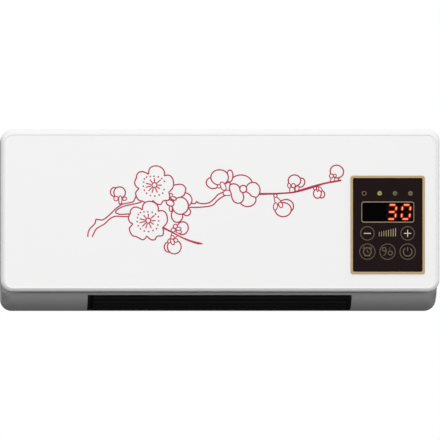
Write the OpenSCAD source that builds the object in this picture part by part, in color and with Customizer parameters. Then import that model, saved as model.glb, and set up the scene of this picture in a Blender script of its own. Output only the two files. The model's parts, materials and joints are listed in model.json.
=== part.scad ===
// Wall-mounted fan heater. X runs to the right and Z up, and the front faces -Y.
// The origin lies on the wall, midway between the two hanging screws.
// Inside the modules every height is measured from the lower edge of the housing.

/* [Body] */
// Width of the front cover and the rear housing
body_w = 455; // [440:1:520]
// Height of the rear housing
body_h = 188; // [184:1:220]
// Depth from the wall to the face of the front cover
body_d = 115; // [113:1:130]
// Thickness of the moulded walls
wall = 2.5; // [2:0.1:3]
// Gap left between two moulded pieces that meet
seam = 0.3; // [0.2:0.05:0.6]

/* [Wall hanging] */
// Height of the two keyhole entries above the lower edge
hang_h = 156; // [152:1:160]
// Distance between the two keyholes
hang_pitch = 220; // [180:1:240]
// Radius of a keyhole entry, which lets the screw head in
entry_r = 5.5; // [4.5:0.1:6]
// Width of the slot that the screw shank slides into
shank_slot = 5.4; // [4.2:0.1:6]
// Distance that the heater drops on its screws
hang_drop = 9; // [7:0.5:10]
// Depth of the pocket that takes the screw head
pocket_d = 9; // [7:0.5:10]

/* [Front cover] */
// Depth of the front cover
cover_d = 28; // [24:1:31]
// Corner radius of the front cover
cover_corner = 12; // [9:0.5:18]
// Radius of the rounded edge round the face
cover_edge = 4; // [3.2:0.2:6]
// Height of the cover's lower edge above the lower edge of the housing
cover_lift = 20; // [19.5:0.5:24]

/* [Chin and outlet] */
// Depth over which the chin curves back under the heater
chin_run = 62; // [58:1:66]
// Height of the curved chin
chin_drop = 18; // [17:0.5:19]
// Radius of the chin's lower corners and ends
chin_corner = 12; // [8:0.5:16]
// Width of the closed bay at each side of the outlet
side_bay = 90.5; // [88:0.5:96]
// Where the outlet starts and ends along the chin, in degrees of its curve
outlet_arc = [6.2, 80]; // [0:0.1:90]
// Distance between two louvre blades along the chin
blade_pitch = 10; // [9.5:0.1:10.2]
// Thickness of a louvre blade
blade_t = 1.6; // [1.2:0.1:1.8]
// Distance from a blade's pivot to its front edge
blade_nose = 5.5; // [5:0.1:5.8]
// Distance from a blade's pivot to its rear edge
blade_tail = 6.2; // [5.9:0.1:6.6]
// Radius of the pivot pins
pivot_r = 1.25; // [1:0.05:1.4]
// Radius of the crank pins that the tie bar joins
crank_r = 1; // [0.8:0.05:1.1]
// Tilt of the blades from straight down at rest
blow_angle = 30; // [25:1:35]

/* [Fan] */
// Outer radius of the impeller
fan_r = 30; // [28:0.5:31]
// Distance of the fan's axis in front of the middle of the housing's depth
fan_ahead = 6.65; // [5.5:0.05:8]
// Height of the fan's axis
fan_z = 106; // [104:0.5:112]
// Number of impeller blades
fan_blades = 30; // [24:1:36]
// Radius of the shafts
shaft_r = 3; // [2.5:0.1:3.5]
// Running clearance of a shaft or pin in its bush
run_gap = 0.05; // [0.02:0.01:0.08]

/* [Heating element] */
// Height of the element's centre
ptc_z = 55; // [53:0.5:58]
// Length of the plastic cap at each end
cap_len = 19; // [14:0.5:30]
// Height of one row of fins
fin_h = 8.4; // [7.4:0.1:8.5]
// Thickness of one heating bar
bar_t = 4.2; // [3.6:0.1:4.3]
// Thickness of the element in the direction of the air
ptc_t = 15; // [12:0.5:16]

/* [Control panel] */
// Width and height of the gilt bezel
panel_size = [77, 102]; // [60:0.5:110]
// Distance from the bezel to the side of the cover
panel_edge = 15.5; // [13:0.5:24]
// Height of the middle of the panel
panel_z = 89; // [80:0.5:100]
// Width of the bezel seen from the front
bezel_w = 2.4; // [1.6:0.1:3]
// Depth of the recess that the panel is set in
panel_set = 1.5; // [1:0.1:1.7]
// Amount by which the bezel stands proud of the cover
panel_proud = 0.5; // [0.3:0.1:1]
// Width and height of the display window
window_size = [55.2, 22.4]; // [18:0.2:58]
// Height of a digit
digit_h = 16.5; // [12:0.5:18]

/* [Hidden] */
$fn = 64;
eps = 0.01;
fit_gap = 0.1;
pcb_t = 1.6;
blade_n = 5;

// Depths and places that follow from the sizes above
shell_d = body_d - cover_d - seam;
sill_h = cover_lift + wall + 1.5;
chin_back = shell_d - chin_run;
half_w = body_w / 2;
outlet_w = body_w - 2 * side_bay;
duct_half = outlet_w / 2;
plate_t = wall;
frame_top = sill_h;
bay_x = duct_half + plate_t;
fan_y = shell_d / 2 + fan_ahead;
panel_x = half_w - panel_edge - panel_size[0] / 2;

// Moves a piece from heights over the lower edge to the frame on the wall
module place() {
    translate([0, 0, -hang_h]) children();
}

// Turns a flat outline drawn as x and height, with z measured out from the wall
module outward(from = 0) {
    rotate([90, 0, 0]) translate([0, 0, from]) children();
}

// Runs a side outline, drawn as depth (negative) and height, along X
module across(from, length) {
    translate([from, 0, 0]) rotate([90, 0, 90]) linear_extrude(length) children();
}

// A round bar along X
module bar_x(r, from, length) {
    translate([from, 0, 0]) rotate([0, 90, 0]) cylinder(r = r, h = length);
}

// A tube along X
module tube_x(r, bore, from, length) {
    difference() {
        bar_x(r, from, length);
        bar_x(bore, from - 1, length + 2);
    }
}

// An upright rectangle centred on X, with its own radii at foot and head
module slab(w, h, foot_r, head_r) {
    for (side = [-1, 1]) {
        translate([side * (w / 2 - foot_r), foot_r]) circle(foot_r);
        translate([side * (w / 2 - head_r), h - head_r]) circle(head_r);
    }
    translate([-w / 2, foot_r]) square([w, h - foot_r - head_r]);
    translate([-(w / 2 - foot_r), 0]) square([w - 2 * foot_r, h / 2]);
    translate([-(w / 2 - head_r), h / 2]) square([w - 2 * head_r, h / 2]);
}

// A rectangle with round corners, centred
module round_rect(size, r) {
    translate([0, -size[1] / 2]) slab(size[0], size[1], r, r);
}

// Rear housing

// A point of the chin's curve, as depth and height, at an angle from front to underside
function chin_point(t, inset = 0) = [
    -(chin_back + (chin_run - inset) * cos(t)),
    chin_drop - (chin_drop - inset) * sin(t)
];

module chin_profile(inset) {
    steps = 30;
    top = sill_h;
    polygon(concat(
        [[-inset, inset], [-inset, top], [-(shell_d - inset), top]],
        [for (i = [0 : steps]) chin_point(90 * i / steps, inset)]
    ));
}

module chin_block(inset) {
    intersection() {
        across(-body_w, 2 * body_w) chin_profile(inset);
        translate([0, -inset, -eps]) mirror([0, 1, 0]) linear_extrude(sill_h + 2 * eps)
            slab(body_w - 2 * inset, shell_d - 2 * inset, 1, chin_corner - inset);
    }
}

module housing_outline(inset) {
    translate([0, inset])
        slab(body_w - 2 * inset, body_h - 2 * inset, chin_corner - inset, cover_corner - inset);
}

module housing_outside() {
    intersection() {
        outward() linear_extrude(shell_d) housing_outline(0);
        union() {
            chin_block(0);
            translate([-body_w, -body_d, cover_lift]) cube([2 * body_w, 2 * body_d, body_h]);
        }
    }
}

module housing_inside() {
    intersection() {
        outward(wall) linear_extrude(body_d) housing_outline(wall);
        union() {
            chin_block(wall);
            translate([-body_w, -2 * body_d, sill_h]) cube([2 * body_w, 4 * body_d, body_h]);
        }
    }
}

lip_t = 0.9;
lip_inset = 0.4;
mouth_low = chin_point(outlet_arc[1], lip_inset);
mouth_high = chin_point(outlet_arc[0], lip_inset);

// Side outline of the opening that the outlet frame fills
module mouth_profile(reach) {
    steps = 20;
    span = outlet_arc[1] - outlet_arc[0];
    edge = mouth_low[0] + lip_t + seam;
    polygon(concat(
        [for (i = [0 : steps]) chin_point(outlet_arc[0] + span * i / steps, -reach)],
        [[edge, -reach], [edge, mouth_high[1] + seam], [-(shell_d + reach), mouth_high[1] + seam]]
    ));
}

cover_post_x = half_w - cover_corner - 2;
cover_post_z = [cover_lift + 14, body_h - 14];
post_r = 5.5;
cover_screw = [2, 3.8, 16];
post_web = 4;

// Places of the four screws that hold the cover
module at_cover_posts() {
    for (x = [-cover_post_x, cover_post_x], z = cover_post_z) translate([x, z, 0]) children();
}

foot_x = bay_x + 6.5;
foot_z = [38, 134];
foot_boss_h = 6;
duct_screw = [1.5, 3, 9];

// Places of the four screws that hold the duct's end plates
module at_feet() {
    for (x = [-foot_x, foot_x], z = foot_z) translate([x, z, 0]) children();
}

board_size = [58, 104];
board_at = [bay_x + 44, 100];
board_boss_h = 9.5;
board_out = wall + board_boss_h;
board_margin = 5;
board_screw = [1.25, 2.6, 7];

// Places of a board's four screws, inside its corners
module at_corners(size, margin) {
    for (sx = [-1, 1], sy = [-1, 1])
        translate([sx * (size[0] / 2 - margin), sy * (size[1] / 2 - margin), 0]) children();
}

pocket_r = entry_r + 3;
pocket_wall = 2;

// One keyhole: a round entry with a slot above it
module keyhole(depth) {
    translate([0, 0, -1]) cylinder(r = entry_r, h = depth + 1);
    translate([-shank_slot / 2, 0, -1]) cube([shank_slot, hang_drop, depth + 1]);
    translate([0, hang_drop, -1]) cylinder(r = shank_slot / 2, h = depth + 1);
}

module pocket(grow, from, depth) {
    translate([0, -pocket_r, from]) linear_extrude(depth)
        slab(2 * (pocket_r + grow), 2 * pocket_r + hang_drop, pocket_r / 2, pocket_r / 2);
}

intake_size = [outlet_w - 18, 48];
intake_y = fan_y - 2;
gland_at = [board_at[0] + 8, 13];
gland_neck_r = 6;

module rear_housing() color([0.62, 0.62, 0.63]) place() {
    difference() {
        union() {
            difference() {
                housing_outside();
                housing_inside();
            }
            outward() {
                at_cover_posts() cylinder(r = post_r, h = shell_d - seam);
                at_feet() cylinder(r = 4, h = wall + foot_boss_h);
                translate(board_at) at_corners(board_size, board_margin) cylinder(r = 3.5, h = board_out);
                for (side = [-1, 1]) translate([side * hang_pitch / 2, hang_h, 0])
                    pocket(pocket_wall, wall / 2, pocket_d + pocket_wall + wall / 2);
            }
        }
        outward() {
            at_cover_posts() {
                translate([0, 0, -1]) cylinder(r = cover_screw[1] + 0.6, h = shell_d - post_web + 1 - seam);
                cylinder(r = cover_screw[0] + 0.2, h = body_d);
            }
            at_feet() translate([0, 0, wall]) cylinder(r = duct_screw[0] + run_gap, h = body_d);
            translate(board_at) at_corners(board_size, board_margin)
                translate([0, 0, wall]) cylinder(r = board_screw[0] + run_gap, h = board_out);
            for (side = [-1, 1]) translate([side * hang_pitch / 2, hang_h, 0]) {
                keyhole(wall + 1);
                pocket(0, wall, pocket_d);
            }
        }
        across(-duct_half - seam, outlet_w + 2 * seam) mouth_profile(2);
        translate([-intake_size[0] / 2, -intake_y - intake_size[1] / 2, body_h - wall - 1])
            cube([intake_size[0], intake_size[1], wall + 2]);
        translate([gland_at[0], -gland_at[1], -1]) cylinder(r = gland_neck_r + fit_gap, h = wall + 2);
    }
}

// Front cover

cover_h = body_h - cover_lift;
cover_mid = cover_lift + cover_h / 2;
cover_back = shell_d + seam;

// Section of the cover's edge: x out from the corner centre, y out from the wall
module edge_section(inset, back) {
    front = body_d - inset;
    r = cover_edge - inset;
    translate([0, back]) square([cover_corner - cover_edge, front - back]);
    translate([0, back]) square([cover_corner - inset, body_d - cover_edge - back]);
    translate([cover_corner - cover_edge, body_d - cover_edge]) circle(r);
}

module rim_section() {
    difference() {
        edge_section(0, cover_back);
        edge_section(wall, cover_back - 1);
    }
}

module cover_shell() {
    w = body_w / 2 - cover_corner;
    h = cover_h / 2 - cover_corner;
    for (side = [0, 1]) rotate([0, 0, 180 * side]) {
        translate([w, 0, 0]) rotate([90, 0, 0]) linear_extrude(2 * h, center = true) rim_section();
        rotate([0, 0, 90]) translate([h, 0, 0]) rotate([90, 0, 0])
            linear_extrude(2 * w, center = true) rim_section();
        translate([w, h, 0]) rotate_extrude(angle = 90) rim_section();
        translate([-w, h, 0]) rotate([0, 0, 90]) rotate_extrude(angle = 90) rim_section();
    }
    translate([-w, -h, body_d - wall]) cube([2 * w, 2 * h, wall]);
}

panel_corner = 2.5;
panel_ledge = 4;
display_at = [0.3, 13.3];
lamp_x = [-24, -8, 8, 24];
lamp_y = 32.8;
lamp_r = 2.7;
// Middles of the touch keys: minus, plus, timer, heat and power
keys = [[-21, -8.8], [21, -8.8], [-21, -27.6], [0, -27.6], [21, -27.6]];
panel_board = [86, 92];
panel_board_out = body_d - panel_set - 9.5;
panel_boss_inset = 3.5;

module front_cover() color([0.95, 0.95, 0.95]) place() outward() {
    difference() {
        union() {
            translate([0, cover_mid, 0]) cover_shell();
            difference() {
                at_cover_posts() translate([0, 0, cover_back])
                    cylinder(r = post_r, h = body_d - wall / 2 - cover_back);
                at_cover_posts() translate([0, 0, cover_back - 1])
                    cylinder(r = cover_screw[0] + run_gap, h = cover_screw[2]);
            }
            translate([panel_x, panel_z, 0]) at_corners(panel_board, panel_boss_inset)
                translate([0, 0, panel_board_out]) difference() {
                    cylinder(r = 2.8, h = body_d - wall / 2 - panel_board_out);
                    translate([0, 0, -1]) cylinder(r = board_screw[0] + run_gap, h = board_screw[2]);
                }
        }
        translate([panel_x, panel_z, body_d - panel_set]) linear_extrude(wall)
            round_rect(panel_size + 2 * fit_gap * [1, 1], panel_corner);
        translate([panel_x, panel_z, body_d - 2 * wall]) linear_extrude(3 * wall)
            round_rect(panel_size - 2 * panel_ledge * [1, 1], panel_corner);
    }
}

// Intake grille on top

slot_pitch = 8;
slot_w = 3.6;
slot_run = 38;

module intake_grille() color([0.55, 0.55, 0.56]) place() {
    slots = floor((intake_size[0] - 10) / slot_pitch);
    translate([0, -intake_y, body_h - wall]) difference() {
        union() {
            linear_extrude(wall) round_rect(intake_size - 2 * seam * [1, 1], 1);
            translate([0, 0, -1.2]) linear_extrude(1.2) round_rect(intake_size + [6, 6], 1);
        }
        for (i = [0 : slots - 1])
            translate([(i - (slots - 1) / 2) * slot_pitch - slot_w / 2, -slot_run / 2, -2])
                cube([slot_w, slot_run, wall + 4]);
    }
}

// Outlet frame and louvres

tip_inset = 1;
first_tip = 20;
side_t = 2.5;
blade_end = duct_half - side_t - 0.6;
tie_gap = 2.6;
blade_dir = [-sin(blow_angle), -cos(blow_angle)];

// Next place along the chin, one blade pitch further on
function arc_speed(t) = norm([chin_run * sin(t), chin_drop * cos(t)]) * PI / 180;
function next_tip(t) = t + blade_pitch / arc_speed(t + blade_pitch / arc_speed(t) / 2);
function tip_at(i) = i == 0 ? first_tip : next_tip(tip_at(i - 1));
function pivot_at(i) = chin_point(tip_at(i), tip_inset) - blade_nose * blade_dir;

duct_front = shell_d - wall - 0.7;
frame_t = 1.6;
brow_t = 0.8;
rear_inner = [mouth_low[0] + 2.4, frame_top];
lip_h = 3.4;
// Rear edge of the frame, from the underside up to the duct
frame_rear = [mouth_low + [lip_t, 0], mouth_low + [lip_t, lip_h], rear_inner + [frame_t, 0]];

module frame_side() {
    steps = 16;
    span = outlet_arc[1] - outlet_arc[0];
    polygon(concat(
        [for (i = [0 : steps]) chin_point(outlet_arc[0] + span * i / steps, lip_inset)],
        frame_rear,
        [[-duct_front, frame_top], [-duct_front, mouth_high[1]]]
    ));
}

module outlet_frame() color([0.07, 0.07, 0.07]) place() {
    difference() {
        for (x = [-duct_half, duct_half - side_t]) across(x, side_t) frame_side();
        for (i = [0 : blade_n - 1]) translate([0, pivot_at(i)[0], pivot_at(i)[1]])
            bar_x(pivot_r + run_gap, -duct_half - 1, outlet_w + 2);
    }
    across(-duct_half + side_t - eps, outlet_w - 2 * side_t + 2 * eps) {
        polygon([mouth_high, mouth_high - [0, brow_t], [-duct_front + frame_t, mouth_high[1] - brow_t],
            [-duct_front + frame_t, frame_top], [-duct_front, frame_top],
            [-duct_front, mouth_high[1]]]);
        polygon(concat([rear_inner, mouth_low], frame_rear));
    }
}

crank_arm = blade_tail - 0.7;
lug_len = 3.2;

// One louvre blade, with pivot pins at both ends and a crank pin at the left
module louvre(i) {
    color([0.10, 0.10, 0.10]) place() translate([0, pivot_at(i)[0], pivot_at(i)[1]])
        rotate([-blow_angle, 0, 0]) {
            left = -blade_end + tie_gap;
            across(left, blade_end - left) {
                translate([-blade_t / 2, -blade_nose + blade_t / 2])
                    square([blade_t, blade_nose + blade_tail - blade_t]);
                translate([0, -blade_nose + blade_t / 2]) circle(blade_t / 2);
                translate([0, blade_tail - blade_t / 2]) circle(blade_t / 2);
                circle(pivot_r + 0.5);
            }
            bar_x(pivot_r, -duct_half + 0.4, outlet_w - 0.8);
            translate([0, 0, crank_arm]) bar_x(crank_r, left - tie_gap + 0.4, tie_gap + lug_len);
        }
}

tie_t = 1.4;
tie_half = 1.6;
crank_step = crank_arm * -blade_dir;

// Flat bar with one hole for each crank pin
module louvre_tie_bar() color([0.13, 0.13, 0.13]) place() {
    difference() {
        across(-blade_end + (tie_gap - tie_t) / 2, tie_t) {
            for (i = [0 : blade_n - 1]) translate(pivot_at(i) + crank_step) circle(tie_half + 0.4);
            for (i = [0 : blade_n - 2]) {
                a = pivot_at(i) + crank_step;
                b = pivot_at(i + 1) + crank_step;
                translate(a) rotate(atan2(b[1] - a[1], b[0] - a[0]))
                    translate([0, -tie_half]) square([norm(b - a), 2 * tie_half]);
            }
        }
        for (i = [0 : blade_n - 1]) {
            p = pivot_at(i) + crank_step;
            translate([0, p[0], p[1]])
                bar_x(crank_r + (i == 0 ? run_gap : 0.3), -body_w, 2 * body_w);
        }
    }
}

// Air duct

scroll_shift = 5;
scroll_gap = 6.5;
scroll_r = fan_r + scroll_gap;
scroll_mid = [-fan_y, fan_z] + scroll_shift * [cos(50), -sin(50)];
scroll_start = 80;
duct_t = 2;
// Angle at which the straight rear wall leaves the scroll
rear_aim = rear_inner - scroll_mid;
scroll_end = atan2(rear_aim[1], rear_aim[0]) + acos(scroll_r / norm(rear_aim));
tongue_angle = 215;
tongue_r = 1.8;
tongue_gap = 2;
tongue = [-fan_y, fan_z] + (fan_r + tongue_gap + tongue_r) * [cos(tongue_angle), sin(tongue_angle)];

// Inner faces of the two duct walls at a height
scroll_leave = scroll_mid + scroll_r * [cos(scroll_end), sin(scroll_end)];
function on_line(a, b, z) = a[0] + (b[0] - a[0]) * (z - a[1]) / (b[1] - a[1]);
function duct_rear_y(z) = on_line(rear_inner, scroll_leave, z);
duct_foot = [-duct_front + duct_t, frame_top];
duct_neck = tongue + [tongue_r, 0];
function duct_front_y(z) = on_line(duct_foot, duct_neck, z);
// The element lies square across the duct, whose walls both lean to the wall
function lean(a, b) = atan((b[0] - a[0]) / (b[1] - a[1]));
ptc_tilt = (lean(rear_inner, scroll_leave) + lean(duct_foot, duct_neck)) / 2;
ptc_set = 0.8;
ptc_y = ptc_set - (duct_rear_y(ptc_z) + duct_front_y(ptc_z)) / 2;

module scroll_duct() color([0.20, 0.20, 0.21]) place() {
    steps = 24;
    span = scroll_end - scroll_start;
    arc = [for (i = [0 : steps]) scroll_start + span * i / steps];
    across(-duct_half, outlet_w) polygon(concat(
        [for (a = arc) scroll_mid + scroll_r * [cos(a), sin(a)]],
        [rear_inner, rear_inner + [duct_t, 0]],
        [for (i = [0 : steps]) scroll_mid
            + (scroll_r + duct_t) * [cos(arc[steps - i]), sin(arc[steps - i])]]
    ));
}

module front_duct() color([0.20, 0.20, 0.21]) place() {
    across(-duct_half, outlet_w) {
        polygon([duct_foot - [duct_t, 0], duct_foot, duct_neck, tongue - [tongue_r, 0]]);
        translate(tongue) circle(tongue_r);
        polygon([tongue + [-tongue_r, -1], tongue + [0, tongue_r - 0.2],
            tongue + [-6, 12], tongue + [-8, 12]]);
    }
}

plate_low = frame_top + fit_gap;
plate_high = fan_z + fan_r + 6;
plate_back = wall + 0.2;
plate_front = shell_d - 3;

module end_plate(inner, step) {
    low = min(inner, inner + step * plate_t);
    translate([low, -plate_front, plate_low])
        cube([plate_t, plate_front - plate_back, plate_high - plate_low]);
    outer = inner + step * plate_t;
    far = step * (foot_x + 5.5);
    for (z = foot_z)
        translate([min(outer, far), -(wall + foot_boss_h + 2.5), z - 6])
            cube([abs(far - outer), 2.5, 12]);
}

module foot_holes() {
    outward() at_feet() cylinder(r = duct_screw[0] + 0.2, h = body_d);
}

motor_x = -(bay_x + 30.5);
stack_t = 20;
motor_screw_r = 1.9;
bracket_gap = 13;
bracket_t = 3;

module at_fan() {
    translate([0, -fan_y, fan_z]) children();
}

core_w = 58;
motor_screw_y = core_w / 2 - 4;

module at_motor_screws() {
    at_fan() for (side = [-1, 1]) translate([0, side * motor_screw_y, 0]) children();
}

bracket_front_x = motor_x + stack_t / 2 + bracket_gap;
bracket_rear_x = motor_x - stack_t / 2 - bracket_gap;

module motor_end_plate() color([0.78, 0.79, 0.80]) place() {
    difference() {
        union() {
            end_plate(-duct_half, -1);
            at_motor_screws()
                bar_x(4, bracket_front_x + bracket_t, -bay_x - bracket_front_x - bracket_t + eps);
        }
        at_fan() bar_x(8, -bay_x - 1, plate_t + 2);
        at_motor_screws() bar_x(motor_screw_r + run_gap, bracket_front_x, body_w);
        foot_holes();
    }
}

cup_r = 11;
cup_len = 9;
bush_r = 6;

module bearing_end_plate() color([0.78, 0.79, 0.80]) place() {
    difference() {
        union() {
            end_plate(duct_half, 1);
            at_fan() tube_x(cup_r + 2, cup_r, bay_x - eps, cup_len);
        }
        at_fan() bar_x(8, duct_half - 1, plate_t + 2);
        translate([duct_half - 1, -ptc_y - 20, ptc_z - 6]) cube([plate_t + 2, 40, 12]);
        translate([0, -cutout_at[0], cutout_at[1]]) bar_x(6, duct_half - 1, plate_t + 2);
        foot_holes();
    }
}

// Impeller

fan_end = duct_half - 3.2;
disc_t = 1.6;
blade_in_r = fan_r - 6.6;
hub_r = 7;
hub_len = 16;
bore_gap = 0.02;
ring_n = 5;

// Outline of one curved blade: angle grows as the blade runs out
function fan_blade_point(f, side) =
    let (r = blade_in_r + f * (fan_r - 0.3 - blade_in_r), a = 9 * sin(90 * f) - 4.5)
    [r * cos(a), r * sin(a) + side * 0.45];

module impeller() color([0.16, 0.17, 0.18]) place() at_fan() {
    across(-fan_end + disc_t / 2, 2 * fan_end - disc_t)
        for (i = [0 : fan_blades - 1]) rotate(i * 360 / fan_blades)
            polygon(concat(
                [for (k = [0 : 4]) fan_blade_point(k / 4, 1)],
                [for (k = [0 : 4]) fan_blade_point(1 - k / 4, -1)]
            ));
    for (i = [1 : ring_n])
        tube_x(fan_r, blade_in_r - 0.6, -fan_end + i * 2 * fan_end / (ring_n + 1) - disc_t / 2, disc_t);
    for (side = [-1, 1]) {
        tube_x(fan_r, shaft_r + bore_gap, side > 0 ? fan_end - disc_t : -fan_end, disc_t);
        tube_x(hub_r, shaft_r + bore_gap, side > 0 ? fan_end - hub_len : -fan_end + eps, hub_len - eps);
    }
}

module impeller_stub_shaft() color([0.75, 0.75, 0.77]) place() at_fan() {
    from = fan_end - hub_len + 1;
    bar_x(shaft_r, from, bay_x + cup_len - 1 - from);
}

module shaft_bush() color([0.72, 0.55, 0.30]) place() at_fan()
    tube_x(bush_r, shaft_r + run_gap, bay_x + 0.5, cup_len - 1);

module bush_rubber() color([0.10, 0.10, 0.10]) place() at_fan()
    tube_x(cup_r - fit_gap, bush_r + fit_gap, bay_x + fit_gap, cup_len - 0.5);

// Fan motor

rotor_r = 13.6;
stator_bore = 14;
core_top = 20;
leg_w = 12;
coil_window = 14;
core_low = core_top + coil_window + leg_w;

module motor_stator() color([0.45, 0.46, 0.48]) place() at_fan() {
    difference() {
        across(motor_x - stack_t / 2, stack_t) difference() {
            translate([-core_w / 2, -core_low]) square([core_w, core_low + core_top]);
            translate([-core_w / 2 + leg_w, -core_top - coil_window])
                square([core_w - 2 * leg_w, coil_window]);
        }
        bar_x(stator_bore, motor_x - stack_t, 2 * stack_t);
        for (side = [-1, 1]) translate([0, side * motor_screw_y, 0])
            bar_x(motor_screw_r + run_gap, motor_x - stack_t, 2 * stack_t);
    }
}

coil_t = 11;

module motor_coil() color([0.55, 0.20, 0.12]) place() at_fan() {
    len_y = core_w - 2 * leg_w - 2;
    deep = stack_t + 2 * coil_t;
    tall = leg_w + 2 * coil_t;
    translate([motor_x, 0, -core_low + leg_w / 2]) difference() {
        rotate([90, 0, 0]) linear_extrude(len_y, center = true) round_rect([deep, tall], 4);
        cube([stack_t + 2 * fit_gap, len_y + 2, leg_w + 2 * fit_gap], center = true);
    }
}

dome_r = 8.5;
dome_len = 9;
bracket_w = 62;
bracket_h = 16;

// Die-cast bracket: a crossbar with a bearing dome and two posts to the stack
module motor_bracket(bar_from, post_from, post_len, dome_from) {
    difference() {
        union() {
            across(bar_from, bracket_t) round_rect([bracket_w, bracket_h], 5);
            for (side = [-1, 1]) translate([0, side * motor_screw_y, 0])
                bar_x(4.5, post_from, post_len);
            bar_x(dome_r, dome_from, dome_len);
        }
        bar_x(bush_r + fit_gap, -body_w, body_w);
        for (side = [-1, 1]) translate([0, side * motor_screw_y, 0])
            bar_x(motor_screw_r + run_gap, -body_w, body_w);
    }
}

module motor_front_bracket() color([0.66, 0.67, 0.68]) place() at_fan()
    motor_bracket(bracket_front_x, motor_x + stack_t / 2, bracket_gap + eps,
        bracket_front_x + bracket_t - dome_len);

module motor_rear_bracket() color([0.66, 0.67, 0.68]) place() at_fan()
    motor_bracket(bracket_rear_x - bracket_t, bracket_rear_x - eps, bracket_gap + eps,
        bracket_rear_x - bracket_t);

module motor_bushes() color([0.72, 0.55, 0.30]) place() at_fan() {
    tube_x(bush_r, shaft_r + run_gap, bracket_front_x + bracket_t - dome_len + 0.5, dome_len - 1);
    tube_x(bush_r, shaft_r + run_gap, bracket_rear_x - bracket_t + 0.5, dome_len - 1);
}

module motor_rotor() color([0.60, 0.61, 0.63]) place() at_fan()
    tube_x(rotor_r, shaft_r + bore_gap, motor_x - stack_t / 2 - 1, stack_t + 2);

module motor_shaft() color([0.75, 0.75, 0.77]) place() at_fan() {
    from = bracket_rear_x - bracket_t - 3;
    bar_x(shaft_r, from, -fan_end + hub_len - 1 - from);
}

module motor_screws() color([0.70, 0.71, 0.72]) place() at_motor_screws() {
    from = bracket_rear_x - bracket_t;
    bar_x(motor_screw_r, from, -bay_x - 1 - from);
    bar_x(3.4, from - 2.4, 2.4);
}

// Heating element

bar_pitch = fin_h + bar_t;
bar_n = 3;
rail_t = 1.5;
stack_half = (bar_n * bar_pitch + fin_h) / 2 + fit_gap;
cap_margin = 0.6;
cap_gap = 1;
cap_start = duct_half - fit_gap - cap_len;
ptc_len = 2 * (cap_start - cap_gap);
cap_socket = 7;
bar_end = cap_start + 6;

module at_ptc() {
    translate([0, -ptc_y, ptc_z]) rotate([-ptc_tilt, 0, 0]) children();
}

function bar_y(i) = (i - (bar_n - 1) / 2) * bar_pitch;

module ptc_bars() color([0.80, 0.80, 0.82]) place() at_ptc()
    for (i = [0 : bar_n - 1]) translate([-bar_end, bar_y(i) - bar_t / 2, -ptc_t / 2]) difference() {
        cube([2 * bar_end, bar_t, ptc_t]);
        translate([-1, 0.7, 1]) cube([2 * bar_end + 2, bar_t - 1.4, ptc_t - 2]);
    }

stone_n = 8;

module ptc_stones() color([0.25, 0.24, 0.24]) place() at_ptc()
    for (i = [0 : bar_n - 1], k = [0 : stone_n - 1])
        translate([(k - stone_n / 2) * (ptc_len / stone_n) + 1,
            bar_y(i) - bar_t / 2 + 0.7 + fit_gap, -ptc_t / 2 + 1 + fit_gap])
            cube([ptc_len / stone_n - 2, bar_t - 1.4 - 2 * fit_gap, ptc_t - 2 - 2 * fit_gap]);

fin_waves = 36;
fin_rise = 1.6;

// One corrugated fin strip between two bars; fin_rise is its thickness measured across the duct
module fin_strip() {
    half = fin_h / 2 - fit_gap;
    run = ptc_len / fin_waves / 2;
    wave = [for (k = [0 : 2 * fin_waves])
        [-ptc_len / 2 + k * run, k % 2 == 0 ? -half : half - fin_rise]];
    linear_extrude(ptc_t, center = true) polygon(concat(
        wave,
        [for (k = [0 : 2 * fin_waves]) wave[2 * fin_waves - k] + [0, fin_rise]]
    ));
}

module ptc_fins() color([0.82, 0.83, 0.84]) place() at_ptc()
    for (i = [0 : bar_n]) translate([0, bar_y(i) - bar_pitch / 2, 0]) fin_strip();

module ptc_side_rails() color([0.80, 0.80, 0.82]) place() at_ptc()
    for (side = [-1, 1])
        translate([-bar_end, side > 0 ? stack_half : -stack_half - rail_t, -ptc_t / 2])
            cube([2 * bar_end, rail_t, ptc_t]);

module ptc_end_caps() color([0.16, 0.15, 0.14]) place() at_ptc() difference() {
    half = stack_half + rail_t + cap_margin;
    for (side = [-1, 1])
        translate([side > 0 ? cap_start : -cap_start - cap_len, -half, -ptc_t / 2 - 1]) difference() {
            cube([cap_len, 2 * half, ptc_t + 2]);
            translate([side > 0 ? -1 : cap_len - cap_socket, cap_margin - fit_gap, 1 - fit_gap])
                cube([cap_socket + 1, 2 * (stack_half + rail_t + fit_gap), ptc_t + 2 * fit_gap]);
        }
    for (i = [0 : bar_n - 1]) translate([0, bar_y(i) - 3.3, -0.5]) cube([duct_half + 1, 6.6, 1]);
}

tab_end = bay_x + 9;

module ptc_terminals() color([0.85, 0.84, 0.80]) place() at_ptc()
    for (i = [0 : bar_n - 1]) translate([bar_end + fit_gap, bar_y(i) - 3.15, -0.4])
        cube([tab_end - bar_end - fit_gap, 6.3, 0.8]);

cutout_at = [fan_y + 16, 78];
fuse_at = [fan_y - 16, 78];

// Bimetal cut-out on the end plate, with its two tabs
module thermal_cutout() color([0.30, 0.26, 0.22]) place() translate([0, -cutout_at[0], cutout_at[1]]) {
    bar_x(8, bay_x, 7);
    for (side = [-1, 1]) translate([bay_x + 7 - eps, side * 4 - 0.4, -3.1]) cube([8, 0.8, 6.2]);
}

module thermal_fuse() color([0.80, 0.75, 0.66]) place() translate([bay_x + 2.1, -fuse_at[0], fuse_at[1]]) {
    translate([0, 0, -6]) cylinder(r = 2, h = 12);
    translate([0, 0, -14]) cylinder(r = 0.6, h = 28);
}

// Control panel

module at_panel(out) {
    outward() translate([panel_x, panel_z, out]) children();
}

face_size = panel_size - 2 * bezel_w * [1, 1];
face_back = body_d - panel_set;
face_front = body_d + 0.3;

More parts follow.
